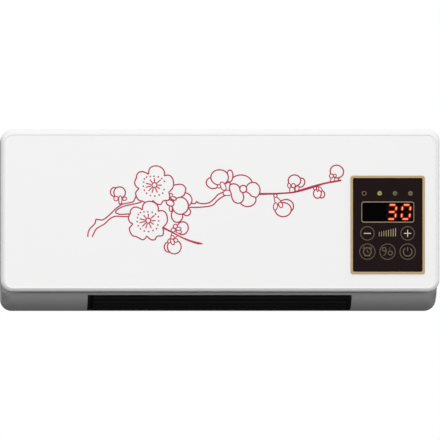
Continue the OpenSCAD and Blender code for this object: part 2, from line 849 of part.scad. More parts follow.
module control_bezel() color([0.78, 0.64, 0.40]) place() at_panel(face_back) difference() {
    linear_extrude(panel_set + panel_proud) round_rect(panel_size, panel_corner);
    translate([0, 0, -1]) linear_extrude(panel_set + panel_proud + 2)
        round_rect(face_size + 2 * fit_gap * [1, 1], panel_corner - 1);
}

module control_face() color([0.10, 0.07, 0.05]) place() at_panel(face_back) difference() {
    linear_extrude(face_front - face_back) round_rect(face_size, panel_corner - 1);
    translate([display_at[0], display_at[1], -1]) linear_extrude(2 * wall)
        round_rect(window_size, 0.8);
    for (x = lamp_x) translate([x, lamp_y, -1]) cylinder(r = lamp_r + fit_gap, h = 2 * wall);
}

module display_module() color([0.05, 0.04, 0.04]) place() at_panel(panel_board_out)
    translate([display_at[0], display_at[1], fit_gap]) linear_extrude(body_d - panel_board_out - fit_gap)
        round_rect(window_size - 2 * fit_gap * [1, 1], 0.7);

digit_w = 9.6;
digit_x = [5.2, 19.4];
stroke = 2.4;
slant = 0.11;

// One segment of a digit: a bar with pointed ends, leaning with the digit
module segment(mid, length, upright) {
    h = length / 2 - 0.25;
    s = stroke / 2;
    flat = [[-h, 0], [-h + s, s], [h - s, s], [h, 0], [h - s, -s], [-h + s, -s]];
    turned = [for (p = flat) upright ? [p[1], p[0]] : p];
    polygon([for (p = turned) let (q = p + mid) [q[0] + slant * q[1], q[1]]]);
}

module digit() {
    w = digit_w - stroke;
    h = digit_h - stroke;
    for (k = [-1, 0, 1]) segment([0, k * h / 2], w, false);
    for (sx = [-1, 1], sy = [-1, 1]) segment([sx * w / 2, sy * h / 4], h / 2, true);
}

module digit_segments() color([1.0, 0.25, 0.08]) place() at_panel(body_d)
    for (x = digit_x) translate([x, display_at[1], 0]) linear_extrude(0.2) digit();

module indicator_lamps() color([0.62, 0.66, 0.30]) place() at_panel(panel_board_out + fit_gap)
    for (x = lamp_x) translate([x, lamp_y, 0])
        cylinder(r = lamp_r, h = face_front - panel_board_out - fit_gap);

module touch_springs() color([0.75, 0.70, 0.55]) place() at_panel(panel_board_out + fit_gap)
    for (k = keys) translate([k[0], k[1], 0]) difference() {
        cylinder(r = 3.2, h = face_back - panel_board_out - 2 * fit_gap);
        translate([0, 0, -1]) cylinder(r = 2.5, h = 2 * face_back);
    }

module board(size, margin) {
    difference() {
        linear_extrude(pcb_t) round_rect(size, 1);
        at_corners(size, margin) translate([0, 0, -1]) cylinder(r = board_screw[0] + 0.2, h = pcb_t + 2);
    }
}

module display_board() color([0.12, 0.35, 0.18]) place()
    at_panel(panel_board_out - pcb_t) board(panel_board, panel_boss_inset);

buzzer_at = [-26, -22];

module buzzer() color([0.08, 0.08, 0.08]) place()
    at_panel(panel_board_out - pcb_t - 7) translate(buzzer_at) difference() {
        cylinder(r = 6, h = 7);
        translate([0, 0, -1]) cylinder(r = 1.2, h = 3);
    }

// Power board and what stands on it

module on_board(at) {
    outward(board_out + pcb_t) translate([board_at[0] + at[0], board_at[1] + at[1], 0]) children();
}

module power_board() color([0.12, 0.35, 0.18]) place()
    outward(board_out) translate(board_at) board(board_size, board_margin);

relay_size = [15.2, 19, 15.5];
relay_pitch = 18;
relay_z = 26;

module relays() color([0.15, 0.30, 0.60]) place()
    for (k = [-1, 0, 1]) on_board([k * relay_pitch, relay_z])
        translate([-relay_size[0] / 2, -relay_size[1] / 2, 0]) cube(relay_size);

module capacitor() color([0.85, 0.70, 0.20]) place()
    on_board([14, -6]) translate([-9, -5, 0]) cube([18, 10, 15]);

module transformer() color([0.30, 0.30, 0.30]) place() on_board([-13, -6]) {
    translate([-11, -4, 0]) cube([22, 8, 17]);
    translate([-7.5, -9, 1.5]) cube([15, 18, 14]);
}

terminal_ways = 4;
way_pitch = 10;
terminal_z = -34;
terminal_h = 14;

// Middle of one way of the terminal block, to the right of the block's middle
function way_x(k) = (k - (terminal_ways - 1) / 2) * way_pitch;

module terminal_block() color([0.20, 0.50, 0.30]) place() on_board([0, terminal_z]) difference() {
    translate([-terminal_ways * way_pitch / 2, -6, 0]) cube([terminal_ways * way_pitch, 12, terminal_h]);
    for (k = [0 : terminal_ways - 1])
        translate([way_x(k), 0, terminal_h - 5]) cylinder(r = 2.6, h = terminal_h);
}

ribbon_at = [panel_x - 8, panel_z + 18];

// Flat lead between the two boards, with a plug on each
module board_ribbon() color([0.85, 0.85, 0.82]) place() outward() translate(ribbon_at) {
    near = board_out + pcb_t;
    far = panel_board_out - pcb_t;
    translate([-7, -3, near]) cube([14, 6, 7]);
    translate([-7, -3, far - 7]) cube([14, 6, 7]);
    translate([-5, -0.5, near + 7 - eps]) cube([10, 1, far - near - 14 + 2 * eps]);
}

lead_r = 1.4;

// An insulated lead through a list of points, with round bends
module lead(points) {
    for (i = [0 : len(points) - 2]) {
        v = points[i + 1] - points[i];
        translate(points[i]) rotate([0, acos(v[2] / norm(v)), atan2(v[1], v[0])])
            cylinder(r = lead_r, h = norm(v));
    }
    for (i = [1 : len(points) - 2]) translate(points[i]) sphere(lead_r);
}

// Where a heater lead leaves the tab of a heating bar
function tab_point(i) = [tab_end, -ptc_y + bar_y(i) * cos(ptc_tilt), ptc_z - bar_y(i) * sin(ptc_tilt)];

module heater_leads() color([0.75, 0.72, 0.68]) place()
    for (i = [0 : bar_n - 1]) {
        p = tab_point(i);
        end = [board_at[0] + way_x(i), -(board_out + pcb_t + terminal_h + fit_gap), board_at[1] + terminal_z];
        lead([p + [fit_gap, 0, 0], [end[0], p[1], p[2]], [end[0], p[1], end[2]], end]);
    }

lead_z = body_h - 9;

module motor_leads() color([0.55, 0.10, 0.08]) place() for (k = [0, 1]) {
    y = -(wall + lead_r + fit_gap);
    z = lead_z - k * 3.2;
    coil_top = [motor_x - stack_t / 2 - 3 - 3.2 * k, -fan_y, fan_z - core_low + leg_w + coil_t + fit_gap];
    end_z = board_at[1] + board_size[1] / 2 - 3;
    end_x = board_at[0] - 8 - 5 * k;
    lead([coil_top, coil_top + [0, 0, 8], [coil_top[0], y, coil_top[2] + 8],
        [coil_top[0], y, z], [end_x, y, z], [end_x, -(board_out + pcb_t + 5), z],
        [end_x, -(board_out + pcb_t + 5), end_z], [end_x, -(board_out + pcb_t + fit_gap), end_z]]);
}

// Cord inlet in the underside

gland_bore = 3.6;
gland_len = 20;

module at_gland() {
    translate([gland_at[0], -gland_at[1], 0]) children();
}

module cable_gland() color([0.06, 0.06, 0.06]) place() at_gland() difference() {
    union() {
        translate([0, 0, 0.2]) cylinder(r = gland_neck_r, h = gland_len - 0.2);
        translate([0, 0, wall]) cylinder(r = 8, h = 2);
    }
    translate([0, 0, -1]) cylinder(r = gland_bore, h = gland_len + 2);
}

module gland_nut() color([0.20, 0.20, 0.20]) place() at_gland() difference() {
    translate([0, 0, wall + 2 + fit_gap]) cylinder(r = 8.4, h = 4, $fn = 6);
    cylinder(r = gland_neck_r + run_gap, h = gland_len);
}

// Screws

module screw(dims, cross) {
    cylinder(r = dims[0], h = dims[2]);
    difference() {
        translate([0, 0, -cross]) cylinder(r = dims[1], h = cross);
        for (a = [0, 90]) rotate(a) translate([-dims[1] * 0.6, -0.4, -cross - 1])
            cube([dims[1] * 1.2, 0.8, 1 + cross * 0.5]);
    }
}

module cover_screws() color([0.55, 0.55, 0.57]) place() outward() at_cover_posts()
    translate([0, 0, shell_d - post_web - seam]) screw(cover_screw, 2.6);

module duct_screws() color([0.70, 0.71, 0.72]) place() outward() at_feet()
    translate([0, 0, wall + foot_boss_h + 2.5]) mirror([0, 0, 1])
        screw([duct_screw[0], duct_screw[1], foot_boss_h + 1], 2);

module board_screws() color([0.70, 0.71, 0.72]) place() {
    outward(board_out + pcb_t) translate(board_at) at_corners(board_size, board_margin)
        mirror([0, 0, 1]) screw(board_screw, 1.8);
    at_panel(panel_board_out - pcb_t) at_corners(panel_board, panel_boss_inset)
        screw([board_screw[0], board_screw[1], board_screw[2] - 1], 1.8);
}

rear_housing();
front_cover();
intake_grille();
outlet_frame();
louvre(0);  // louvre_1
louvre(1);  // louvre_2
louvre(2);  // louvre_3
louvre(3);  // louvre_4
louvre(4);  // louvre_5
louvre_tie_bar();
scroll_duct();
front_duct();
motor_end_plate();
bearing_end_plate();
impeller();
impeller_stub_shaft();
shaft_bush();
bush_rubber();
motor_stator();
motor_coil();
motor_front_bracket();
motor_rear_bracket();
motor_bushes();
motor_rotor();
motor_shaft();
motor_screws();
ptc_bars();
ptc_stones();
ptc_fins();
ptc_side_rails();
ptc_end_caps();
ptc_terminals();
thermal_cutout();
thermal_fuse();
control_bezel();
control_face();
display_module();
digit_segments();
indicator_lamps();
touch_springs();
display_board();
buzzer();
power_board();
relays();
capacitor();
transformer();
terminal_block();
board_ribbon();
heater_leads();
motor_leads();
cable_gland();
gland_nut();
cover_screws();
duct_screws();
board_screws();
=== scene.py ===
import json
import math
import bmesh
import bpy
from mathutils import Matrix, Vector


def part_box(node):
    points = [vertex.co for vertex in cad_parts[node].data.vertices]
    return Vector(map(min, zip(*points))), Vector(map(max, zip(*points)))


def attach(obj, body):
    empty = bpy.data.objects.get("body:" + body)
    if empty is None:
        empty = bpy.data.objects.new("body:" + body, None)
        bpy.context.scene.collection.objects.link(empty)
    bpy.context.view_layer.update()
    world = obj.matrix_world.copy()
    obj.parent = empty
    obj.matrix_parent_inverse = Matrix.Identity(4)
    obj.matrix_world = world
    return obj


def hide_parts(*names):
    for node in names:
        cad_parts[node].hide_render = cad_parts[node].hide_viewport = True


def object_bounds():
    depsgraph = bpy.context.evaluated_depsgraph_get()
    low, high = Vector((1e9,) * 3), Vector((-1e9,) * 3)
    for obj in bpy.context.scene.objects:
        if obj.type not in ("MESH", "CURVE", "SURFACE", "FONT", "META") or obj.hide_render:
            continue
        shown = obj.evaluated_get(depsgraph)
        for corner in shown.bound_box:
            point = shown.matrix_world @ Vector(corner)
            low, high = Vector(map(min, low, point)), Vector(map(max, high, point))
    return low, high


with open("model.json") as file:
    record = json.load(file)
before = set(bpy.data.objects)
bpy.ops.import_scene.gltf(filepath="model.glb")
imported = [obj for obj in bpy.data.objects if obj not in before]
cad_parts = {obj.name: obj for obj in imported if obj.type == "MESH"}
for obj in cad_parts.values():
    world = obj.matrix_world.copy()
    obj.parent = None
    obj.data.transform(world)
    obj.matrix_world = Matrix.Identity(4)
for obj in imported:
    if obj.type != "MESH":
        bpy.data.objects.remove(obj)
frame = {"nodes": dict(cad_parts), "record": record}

cadBox = [list(corner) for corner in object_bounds()]
mm = 0.001


# Shader maths: a wire is one output socket, and sums on it add Math nodes
class Wire:
    def __init__(self, nodes, socket):
        self.nodes, self.socket = nodes, socket

    def math(self, operation, *values):
        return self.nodes.node("ShaderNodeMath", {"operation": operation}, values)

    def __add__(self, other):
        return self.math("ADD", self, other)

    def __radd__(self, other):
        return self.math("ADD", other, self)

    def __sub__(self, other):
        return self.math("SUBTRACT", self, other)

    def __rsub__(self, other):
        return self.math("SUBTRACT", other, self)

    def __mul__(self, other):
        return self.math("MULTIPLY", self, other)

    def __gt__(self, other):
        return self.math("GREATER_THAN", self, other)

    def wave(self):
        return self.math("SINE", self)

    def size(self):
        return self.math("ABSOLUTE", self)


# The Mix node has sockets of one name for numbers, vectors and colours: these are the colours
mixFirst, mixSecond, mixResult = 6, 7, 2


class Nodes:
    def __init__(self, tree, kind):
        self.tree = tree
        self.shader = next(node for node in tree.nodes if node.type == kind)

    # Makes any node: its settings first, then its sockets' values or links
    def node(self, kind, settings=None, inputs=(), out=0):
        made = self.tree.nodes.new(kind)
        for key, value in (settings or {}).items():
            if key == "stops":
                ramp = made.color_ramp.elements
                while len(ramp) < len(value):
                    ramp.new(position=0.5)
                for stop, (place, colour) in zip(ramp, value):
                    stop.position, stop.color = place, (*colour, 1)
            else:
                setattr(made, key, value)
        named = inputs.items() if isinstance(inputs, dict) else enumerate(inputs)
        for key, value in named:
            self.feed(made.inputs[key], value)
        return Wire(self, made.outputs[out])

    def feed(self, socket, value):
        if isinstance(value, Wire):
            self.tree.links.new(value.socket, socket)
        elif socket.type == "RGBA" and len(value) == 3:
            socket.default_value = (*value, 1)
        else:
            socket.default_value = value

    # Feeds sockets of the shader: baseColor is the socket Base Color
    def set(self, **surface):
        sockets = {socket.name.replace(" ", "").lower(): socket for socket in self.shader.inputs}
        for key, value in surface.items():
            self.feed(sockets[key.lower()], value)
        return self

    def blend(self, share, first, second):
        inputs = {"Factor": share, mixFirst: first, mixSecond: second}
        return self.node("ShaderNodeMix", {"data_type": "RGBA"}, inputs, out=mixResult)

    def ramp(self, value, *stops):
        return self.node("ShaderNodeValToRGB", {"stops": stops}, [value], out="Color")

    # 1 for the rays named, 0 for all others
    def seenBy(self, *rays):
        return sum((self.node("ShaderNodeLightPath", out=ray) for ray in rays), 0)


def tinted(colour, factor):
    return tuple(min(1.0, part * factor) for part in colour)


# A noise is given as its scale and its detail
class Finish(Nodes):
    def __init__(self, name, **surface):
        self.material = bpy.data.materials.new(name)
        self.material.use_nodes = True
        super().__init__(self.material.node_tree, "BSDF_PRINCIPLED")
        self.set(**surface)

    def place(self):
        return self.node("ShaderNodeTexCoord", out="Object")

    def stretched(self, scale):
        return self.node("ShaderNodeMapping", {}, {"Vector": self.place(), "Scale": scale})

    def noise(self, scale, detail, where=None, rough=0.5):
        inputs = {"Vector": where or self.place(), "Scale": scale, "Detail": detail, "Roughness": rough}
        return self.node("ShaderNodeTexNoise", {}, inputs, out="Fac")

    # Noise that swings round zero
    def swing(self, noise, width):
        return (self.noise(*noise) - 0.5) * width

    def along(self, axis):
        return self.node("ShaderNodeSeparateXYZ", {}, [self.place()], out=axis)

    def span(self, value, low, high, fromLow=0.0, fromHigh=1.0):
        return self.node("ShaderNodeMapRange", {}, [value, fromLow, fromHigh, low, high])

    # Colour and roughness that wander as far as the settings say
    def wander(self, given, colour, colourShare, roughness, roughShare):
        dark, light = tinted(colour, given["darkest"]), tinted(colour, given["lightest"])
        low, high = roughness - given["smoother"], roughness + given["rougher"]
        return self.set(baseColor=self.blend(colourShare, dark, light),
                        roughness=self.span(roughShare, low, high))

    def relief(self, height, strength, distance):
        inputs = {"Strength": strength, "Distance": distance, "Height": height}
        return self.set(normal=self.node("ShaderNodeBump", {}, inputs))


# Smooth moulding with a faint orange peel and a slow drift of colour
gloss = dict(drift=(9, 3), patches=(60, 4), peel=(420, 2), darkest=0.985, lightest=1.012, smoother=0.03,
             rougher=0.04, depth=0.0002)


def glossMoulding(name, colour, roughness, strength, **more):
    look = Finish(name, **more)
    look.wander(gloss, colour, look.noise(*gloss["drift"]), roughness, look.noise(*gloss["patches"]))
    return look.relief(look.noise(*gloss["peel"]), strength, gloss["depth"])


# Spark-eroded moulding: a fine even grain that softens the light
grain = dict(fine=(2600, 3), broad=(35, 4), fineShare=0.4, broadShare=0.6, darkest=0.95, lightest=1.05,
             smoother=0.07, rougher=0.07, depth=0.00012)


def grainMoulding(name, colour, roughness, strength, **more):
    look = Finish(name, **more)
    fine, broad = look.noise(*grain["fine"]), look.noise(*grain["broad"])
    look.wander(grain, colour, broad * grain["broadShare"] + fine * grain["fineShare"], roughness, fine)
    return look.relief(fine, strength, grain["depth"])


# Metal drawn or rolled along one direction
brushed = dict(lines=(1, 5), linesRough=0.65, stain=(28, 4), lineShare=0.7, stainShare=0.3, darkest=0.88,
               lightest=1.06, smoother=0.08, rougher=0.14, depth=0.00005)


def brushedMetal(name, colour, roughness, stretch, strength=0.12, metallic=1.0):
    look = Finish(name, metallic=metallic)
    lines = look.noise(*brushed["lines"], look.stretched(stretch), brushed["linesRough"])
    stain = look.noise(*brushed["stain"])
    mixed = lines * brushed["lineShare"] + stain * brushed["stainShare"]
    look.wander(brushed, colour, stain, roughness, mixed)
    return look.relief(lines, strength, brushed["depth"])


# Cast or sintered metal, rubber or ceramic: dull, pitted, uneven
cast = dict(pitDetail=4, pitRough=0.7, stain=(60, 4), darkest=0.8, lightest=1.1, smoother=0.1, rougher=0.15,
            strength=0.3, depth=0.0002)


def castMetal(name, colour, roughness, metallic=1.0, pits=900):
    look = Finish(name, metallic=metallic)
    pitted = look.noise(pits, cast["pitDetail"], rough=cast["pitRough"])
    look.wander(cast, colour, look.noise(*cast["stain"]), roughness, pitted)
    return look.relief(pitted, cast["strength"], cast["depth"])


# Stripes across an axis, as on laminations, windings and ribbon
striped = dict(worn=(120, 3), ridgeShare=0.75, wornShare=0.25, smoother=0.06, rougher=0.1, strength=0.5,
               depthShare=0.25)


def stripedFinish(name, axis, pitch, dark, light, roughness, metallic=0.0):
    look = Finish(name, metallic=metallic)
    ridge = (look.along(axis) * (math.pi / pitch)).wave().size()
    worn = look.noise(*striped["worn"])
    mixed = ridge * striped["ridgeShare"] + worn * striped["wornShare"]
    look.set(baseColor=look.blend(mixed, dark, light),
             roughness=look.span(worn, roughness - striped["smoother"], roughness + striped["rougher"]))
    return look.relief(ridge, striped["strength"], pitch * striped["depthShare"])


# Solder-masked board with copper tracks under the mask, in lanes and rungs
board = dict(bend=(90, 1), bendBy=0.006, lanePitch=0.0042, laneEdge=0.55, rungPitch=0.0068, rungEdge=0.72,
             patch=(70, 0), patchEdge=0.5, sheen=(300, 3), smoothest=0.25, roughest=0.4, strength=0.3,
             depth=0.00006)


def boardFinish(name, mask, track):
    look = Finish(name)
    x, z = look.along("X"), look.along("Z")
    bend = look.noise(*board["bend"]) * board["bendBy"]
    lanes = ((x + bend) * (math.pi / board["lanePitch"])).wave() > board["laneEdge"]
    rungs = ((z + bend) * (math.pi / board["rungPitch"])).wave() > board["rungEdge"]
    patch = look.noise(*board["patch"]) > board["patchEdge"]
    copper = patch * lanes + (1 - patch) * rungs
    look.set(baseColor=look.blend(copper, mask, track),
             roughness=look.span(look.noise(*board["sheen"]), board["smoothest"], board["roughest"]))
    return look.relief(copper, board["strength"], board["depth"])


finishes = {
    "white_cover": glossMoulding("whiteCover", (0.89, 0.885, 0.885), 0.3, 0.03, specularIorLevel=0.35),
    "grey_housing": grainMoulding("greyHousing", (0.42, 0.42, 0.422), 0.6, 0.1, specularIorLevel=0.0),
    "grey_grille": grainMoulding("greyGrille", (0.22, 0.22, 0.222), 0.5, 0.2, specularIorLevel=0.3),
    "black_outlet": grainMoulding("blackOutlet", (0.0165, 0.0165, 0.0165), 0.5, 0.15,
                                  specularIorLevel=0.0),
    "dark_duct": grainMoulding("darkDuct", (0.03, 0.03, 0.032), 0.5, 0.3),
    "zinc_plate": brushedMetal("zincPlate", (0.62, 0.63, 0.65), 0.34, (60, 60, 900)),
    "bright_shaft": brushedMetal("brightShaft", (0.60, 0.60, 0.61), 0.18, (2500, 90, 90)),
    "sintered_bronze": castMetal("sinteredBronze", (0.50, 0.33, 0.15), 0.5),
    "black_rubber": castMetal("blackRubber", (0.025, 0.025, 0.025), 0.62, 0.0, 600),
    "core_steel": stripedFinish("coreSteel", "X", 0.0010, (0.12, 0.12, 0.13), (0.34, 0.34, 0.36), 0.5, 0.8),
    "copper_coil": stripedFinish("copperCoil", "Y", 0.0006, (0.20, 0.05, 0.02), (0.50, 0.17, 0.06), 0.4,
                                 0.3),
    "cast_bracket": castMetal("castBracket", (0.42, 0.43, 0.44), 0.45),
    "element_aluminium": brushedMetal("elementAluminium", (0.70, 0.71, 0.72), 0.3, (900, 60, 60)),
    "ptc_ceramic": castMetal("ptcCeramic", (0.06, 0.055, 0.055), 0.7, 0.0, 1400),
    "bakelite": glossMoulding("bakelite", (0.045, 0.034, 0.026), 0.35, 0.1),
    "fuse_ceramic": castMetal("fuseCeramic", (0.60, 0.54, 0.44), 0.55, 0.0, 1200),
    "gilt_bezel": brushedMetal("giltBezel", (0.315, 0.222, 0.095), 0.38, (1200, 1200, 60), 0.06, 0.35),
    "panel_black": glossMoulding("panelBlack", (0.0115, 0.0042, 0.0048), 0.08, 0.02,
                                 specularIorLevel=0.015),
    "display_black": glossMoulding("displayBlack", (0.0008, 0.0006, 0.0006), 0.15, 0.02,
                                   specularIorLevel=0.003),
    "led_olive": glossMoulding("ledOlive", (0.20, 0.22, 0.07), 0.3, 0.1),
    "led_red": glossMoulding("ledRed", (0.30, 0.02, 0.01), 0.3, 0.1),
    "spring_brass": brushedMetal("springBrass", (0.60, 0.48, 0.26), 0.3, (300, 300, 300)),
    "board_green": boardFinish("boardGreen", (0.012, 0.09, 0.035), (0.04, 0.19, 0.07)),
    "part_black": grainMoulding("partBlack", (0.02, 0.02, 0.02), 0.45, 0.3),
    "relay_blue": glossMoulding("relayBlue", (0.02, 0.07, 0.28), 0.4, 0.1),
    "capacitor_yellow": glossMoulding("capacitorYellow", (0.62, 0.38, 0.03), 0.3, 0.12),
    "terminal_green": glossMoulding("terminalGreen", (0.03, 0.18, 0.06), 0.4, 0.12),
    "ribbon_grey": stripedFinish("ribbonGrey", "X", 0.00127, (0.42, 0.42, 0.40), (0.68, 0.68, 0.65), 0.5),
    "lead_white": grainMoulding("leadWhite", (0.56, 0.53, 0.48), 0.55, 0.25),
    "lead_red": grainMoulding("leadRed", (0.30, 0.016, 0.012), 0.5, 0.25),
    "screw_steel": brushedMetal("screwSteel", (0.55, 0.56, 0.58), 0.26, (700, 700, 700)),
}
for part in frame["record"]["subparts"]:
    slots = frame["nodes"][part["node"]].data.materials
    slots.clear()
    slots.append(finishes[part["material_slot"]].material)


# Faces that lie along an axis stay flat in a smoothed piece
flatFrom = 0.99999


# Makes an object of a bmesh, dresses it and lets it ride on a body
def makePiece(name, bm, finish, body="housing", stands=(), smoothAngle=None):
    mesh = bpy.data.meshes.new(name)
    bmesh.ops.recalc_face_normals(bm, faces=bm.faces)
    bm.to_mesh(mesh)
    bm.free()
    piece = bpy.data.objects.new(name, mesh)
    bpy.context.scene.collection.objects.link(piece)
    mesh.materials.append(finish.material)
    if smoothAngle:
        mesh.shade_smooth()
        mesh.set_sharp_from_angle(angle=math.radians(smoothAngle))
        for face in mesh.polygons:
            face.use_smooth = max(abs(part) for part in face.normal) < flatFrom
    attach(piece, body)
    if stands:
        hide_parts(*stands)


# Loop of a rectangle with round corners, as x and z round a middle
def roundLoop(middle, width, height, radius, steps):
    loop = []
    for corner, (right, up) in enumerate(((1, 1), (-1, 1), (-1, -1), (1, -1))):
        for i in range(steps + 1):
            angle = math.radians(90 * (corner + i / steps))
            loop.append((middle[0] + right * (width / 2 - radius) + radius * math.cos(angle),
                         middle[1] + up * (height / 2 - radius) + radius * math.sin(angle)))
    return loop


def middleOf(node):
    low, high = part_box(node)
    return Vector(((low.x + high.x) / 2 / mm, (low.z + high.z) / 2 / mm))


# Front cover: its rim rolls back from a crest, and the face lies a little lower inside the crest
cover = dict(radius=12, faceRadius=8.8, insetRound=0.6, wall=2.5, rimSide=3.6, rimTop=5.5, rimBottom=3.4,
             rimDepth=5.4, startAngle=22, arcSteps=10, cornerSteps=14, land=0.12, stepWide=0.75, stepDeep=0.5,
             lip=1.5, behindRim=1, backEdge=0.35, panelLedge=4, recess=1.5, panelCorner=2.4, panelSteps=4,
             panelPlay=0.2, smoothAngle=24)


def buildCover():
    low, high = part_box("front_cover")
    bezelLow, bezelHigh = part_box("control_bezel")
    front, back, wall = low.y / mm, high.y / mm, cover["wall"]
    middle, panelAt = middleOf("front_cover"), middleOf("control_bezel")
    wide, tall = (high.x - low.x) / mm, (high.z - low.z) / mm
    panelWide = (bezelHigh.x - bezelLow.x) / mm + cover["panelPlay"]
    panelTall = (bezelHigh.z - bezelLow.z) / mm + cover["panelPlay"]
    bm = bmesh.new()

    def loopAt(loop, depth):
        return [bm.verts.new((x * mm, depth * mm, z * mm)) for x, z in loop]

    # share runs from 0 on the outline to 1 on the crest, more is a plain inset beyond it
    def ring(share, depth, more=0.0):
        side, top, bottom = [cover[key] * share + more for key in ("rimSide", "rimTop", "rimBottom")]
        heart = (middle.x, middle.y + (bottom - top) / 2)
        radius = cover["radius"] + (cover["faceRadius"] - cover["radius"]) * share
        radius -= more * cover["insetRound"]
        loop = roundLoop(heart, wide - 2 * side, tall - top - bottom, radius, cover["cornerSteps"])
        return loopAt(loop, depth)

    def holeRing(shrink, depth):
        width, height = panelWide - 2 * shrink, panelTall - 2 * shrink
        return loopAt(roundLoop(panelAt, width, height, cover["panelCorner"], cover["panelSteps"]), depth)

    def skin(rings):
        for a, b in zip(rings, rings[1:]):
            for i in range(len(a)):
                bm.faces.new((a[i - 1], a[i], b[i], b[i - 1]))

    def plateWithHole(outer, hole):
        pairs = [(loop[i - 1], loop[i]) for loop in (outer, hole) for i in range(len(loop))]
        edges = [bm.edges.get(pair) or bm.edges.new(pair) for pair in pairs]
        bmesh.ops.triangle_fill(bm, use_beauty=True, edges=edges)

    face, inner, shelf = front + cover["stepDeep"], front + wall + cover["stepDeep"], front + cover["recess"]
    behind = front + cover["rimDepth"] + cover["behindRim"]
    rings = [ring(0, inner, wall + cover["lip"]), ring(0, behind, wall), ring(0, back, wall),
             ring(0, back, cover["backEdge"]), ring(0, back - cover["backEdge"])]
    start = math.radians(cover["startAngle"])
    for i in range(cover["arcSteps"] + 1):
        slope = math.pi / 2 + (start - math.pi / 2) * i / cover["arcSteps"]
        share = (1 - math.sin(slope)) / (1 - math.sin(start))
        rings.append(ring(share, front + cover["rimDepth"] * (1 - math.cos(slope) / math.cos(start))))
    rings += [ring(1, front, cover["land"]), ring(1, face, cover["land"] + cover["stepWide"])]
    skin(rings)
    ledge = cover["panelLedge"]
    holes = [holeRing(0, face), holeRing(0, shelf), holeRing(ledge, shelf), holeRing(ledge, inner)]
    skin(holes)
    plateWithHole(rings[-1], holes[0])
    plateWithHole(rings[0], holes[-1])
    makePiece("cover_shell", bm, finishes["white_cover"], stands=["front_cover"],
              smoothAngle=cover["smoothAngle"])
    return face


faceLevel = buildCover()

# Rear housing: the solid's own mesh, with the ends of its chin drawn in and rounded over, and a shadow
# groove under the cover. Values named near and skin are reaches within which a vertex counts
housing = dict(corner=12.0, run=62.0, back=24.7, drop=18.0, seamLine=-136.0, hold=20.0, sideShare=0.42,
               zone=13.0, fade=11.0, taper=1.9, taperFrom=-112.0, endsFrom=200, cutsDeep=(-20, -50),
               cutsAcross=(200, 207, 212, 214.5, 216, 217.5, 219, 220.5, 222, 223.5, 225, 226, 227),
               cutsUp=(-112, -118, -124, -130, -134, -139.5, -141, -142.5, -144, -145.5, -147, -148.5, -150,
                       -151.5, -153, -154.5),
               groove=(-136.02, -136.1, -137.0, -137.1), grooveDeep=1.5, grooveEnd=214, grooveFade=12,
               grooveSkin=0.5, near=0.01, skin=0.06, weld=1e-6, smoothAngle=30)


def easeStep(t):
    t = min(1.0, max(0.0, t))
    return t * t * (3 - 2 * t)


def drawnIn(x, y, z, half, low, depth):
    reach, hold, corner, zone = abs(x), housing["hold"], housing["corner"], housing["zone"]
    chinTop = low + housing["drop"]
    if z < housing["seamLine"] + housing["near"] and y < -hold - housing["near"] and reach > half - zone:
        sunk = min(1.0, max(0.0, (chinTop - z) / housing["drop"]))
        chin = -(housing["back"] + housing["run"] * math.sqrt(1 - sunk ** 2))
        plan = -(depth - corner + math.sqrt(max(0.0, corner ** 2 - max(0.0, reach - half + corner) ** 2)))
        solid = max(chin, plan)
        if y > solid - housing["skin"]:
            rise = max(0.0, low + corner - z)
            edge = half - corner + math.sqrt(max(0.0, corner ** 2 - rise ** 2))
            near = min(1.0, max(0.0, (reach - edge + zone) / zone))
            share = housing["sideShare"] + (1 - housing["sideShare"]) * math.sqrt(1 - near ** 2)
            share = 1 - (1 - share) * easeStep((housing["seamLine"] - z) / housing["fade"])
            target = -(hold + (-chin - hold) * share)
            y = -hold + (y + hold) * (target + hold) / (solid + hold)
    lower = easeStep((housing["taperFrom"] - z) / (housing["taperFrom"] - chinTop))
    outward = max(0.0, (reach - housing["endsFrom"]) / (half - housing["endsFrom"]))
    reach -= housing["taper"] * lower * min(1.0, -y / depth) * outward
    return math.copysign(reach, x), y, z


def buildHousing():
    low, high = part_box("rear_housing")
    half, depth = high.x / mm, -low.y / mm
    bm = bmesh.new()
    bm.from_mesh(frame["nodes"]["rear_housing"].data)
    bmesh.ops.remove_doubles(bm, verts=bm.verts, dist=housing["weld"])
    cuts = [(Vector((side * x, 0, 0)), (1, 0, 0)) for x in housing["cutsAcross"] for side in (-1, 1)]
    cuts += [(Vector((0, 0, z)), (0, 0, 1)) for z in housing["cutsUp"] + housing["groove"]]
    cuts += [(Vector((0, y, 0)), (0, 1, 0)) for y in housing["cutsDeep"]]
    for place, normal in cuts:
        bmesh.ops.bisect_plane(bm, geom=bm.verts[:] + bm.edges[:] + bm.faces[:], dist=housing["weld"],
                               plane_co=place * mm, plane_no=normal)
    grooveTop, grooveFoot = housing["groove"][1] + housing["near"], housing["groove"][2] - housing["near"]
    for v in bm.verts:
        if abs(v.co.x) > housing["endsFrom"] * mm:
            v.co = Vector(drawnIn(*(v.co / mm), half, low.z / mm, depth)) * mm
        if grooveFoot < v.co.z / mm < grooveTop and v.co.y / mm < housing["grooveSkin"] - depth:
            inward = (housing["grooveEnd"] - abs(v.co.x) / mm) / housing["grooveFade"]
            v.co.y += housing["grooveDeep"] * mm * easeStep(inward)
    makePiece("housing_shell", bm, finishes["grey_housing"], stands=["rear_housing"],
              smoothAngle=housing["smoothAngle"])


buildHousing()
print("cover and housing built")

# Steps of an oval: its least number, and how many for each millimetre of its two halves
ovalSteps = dict(least=10, perMm=4)
# A dot is a thick ring round a very small hole, as shares of its radius
dotShape = dict(ring=0.55, pen=0.9)


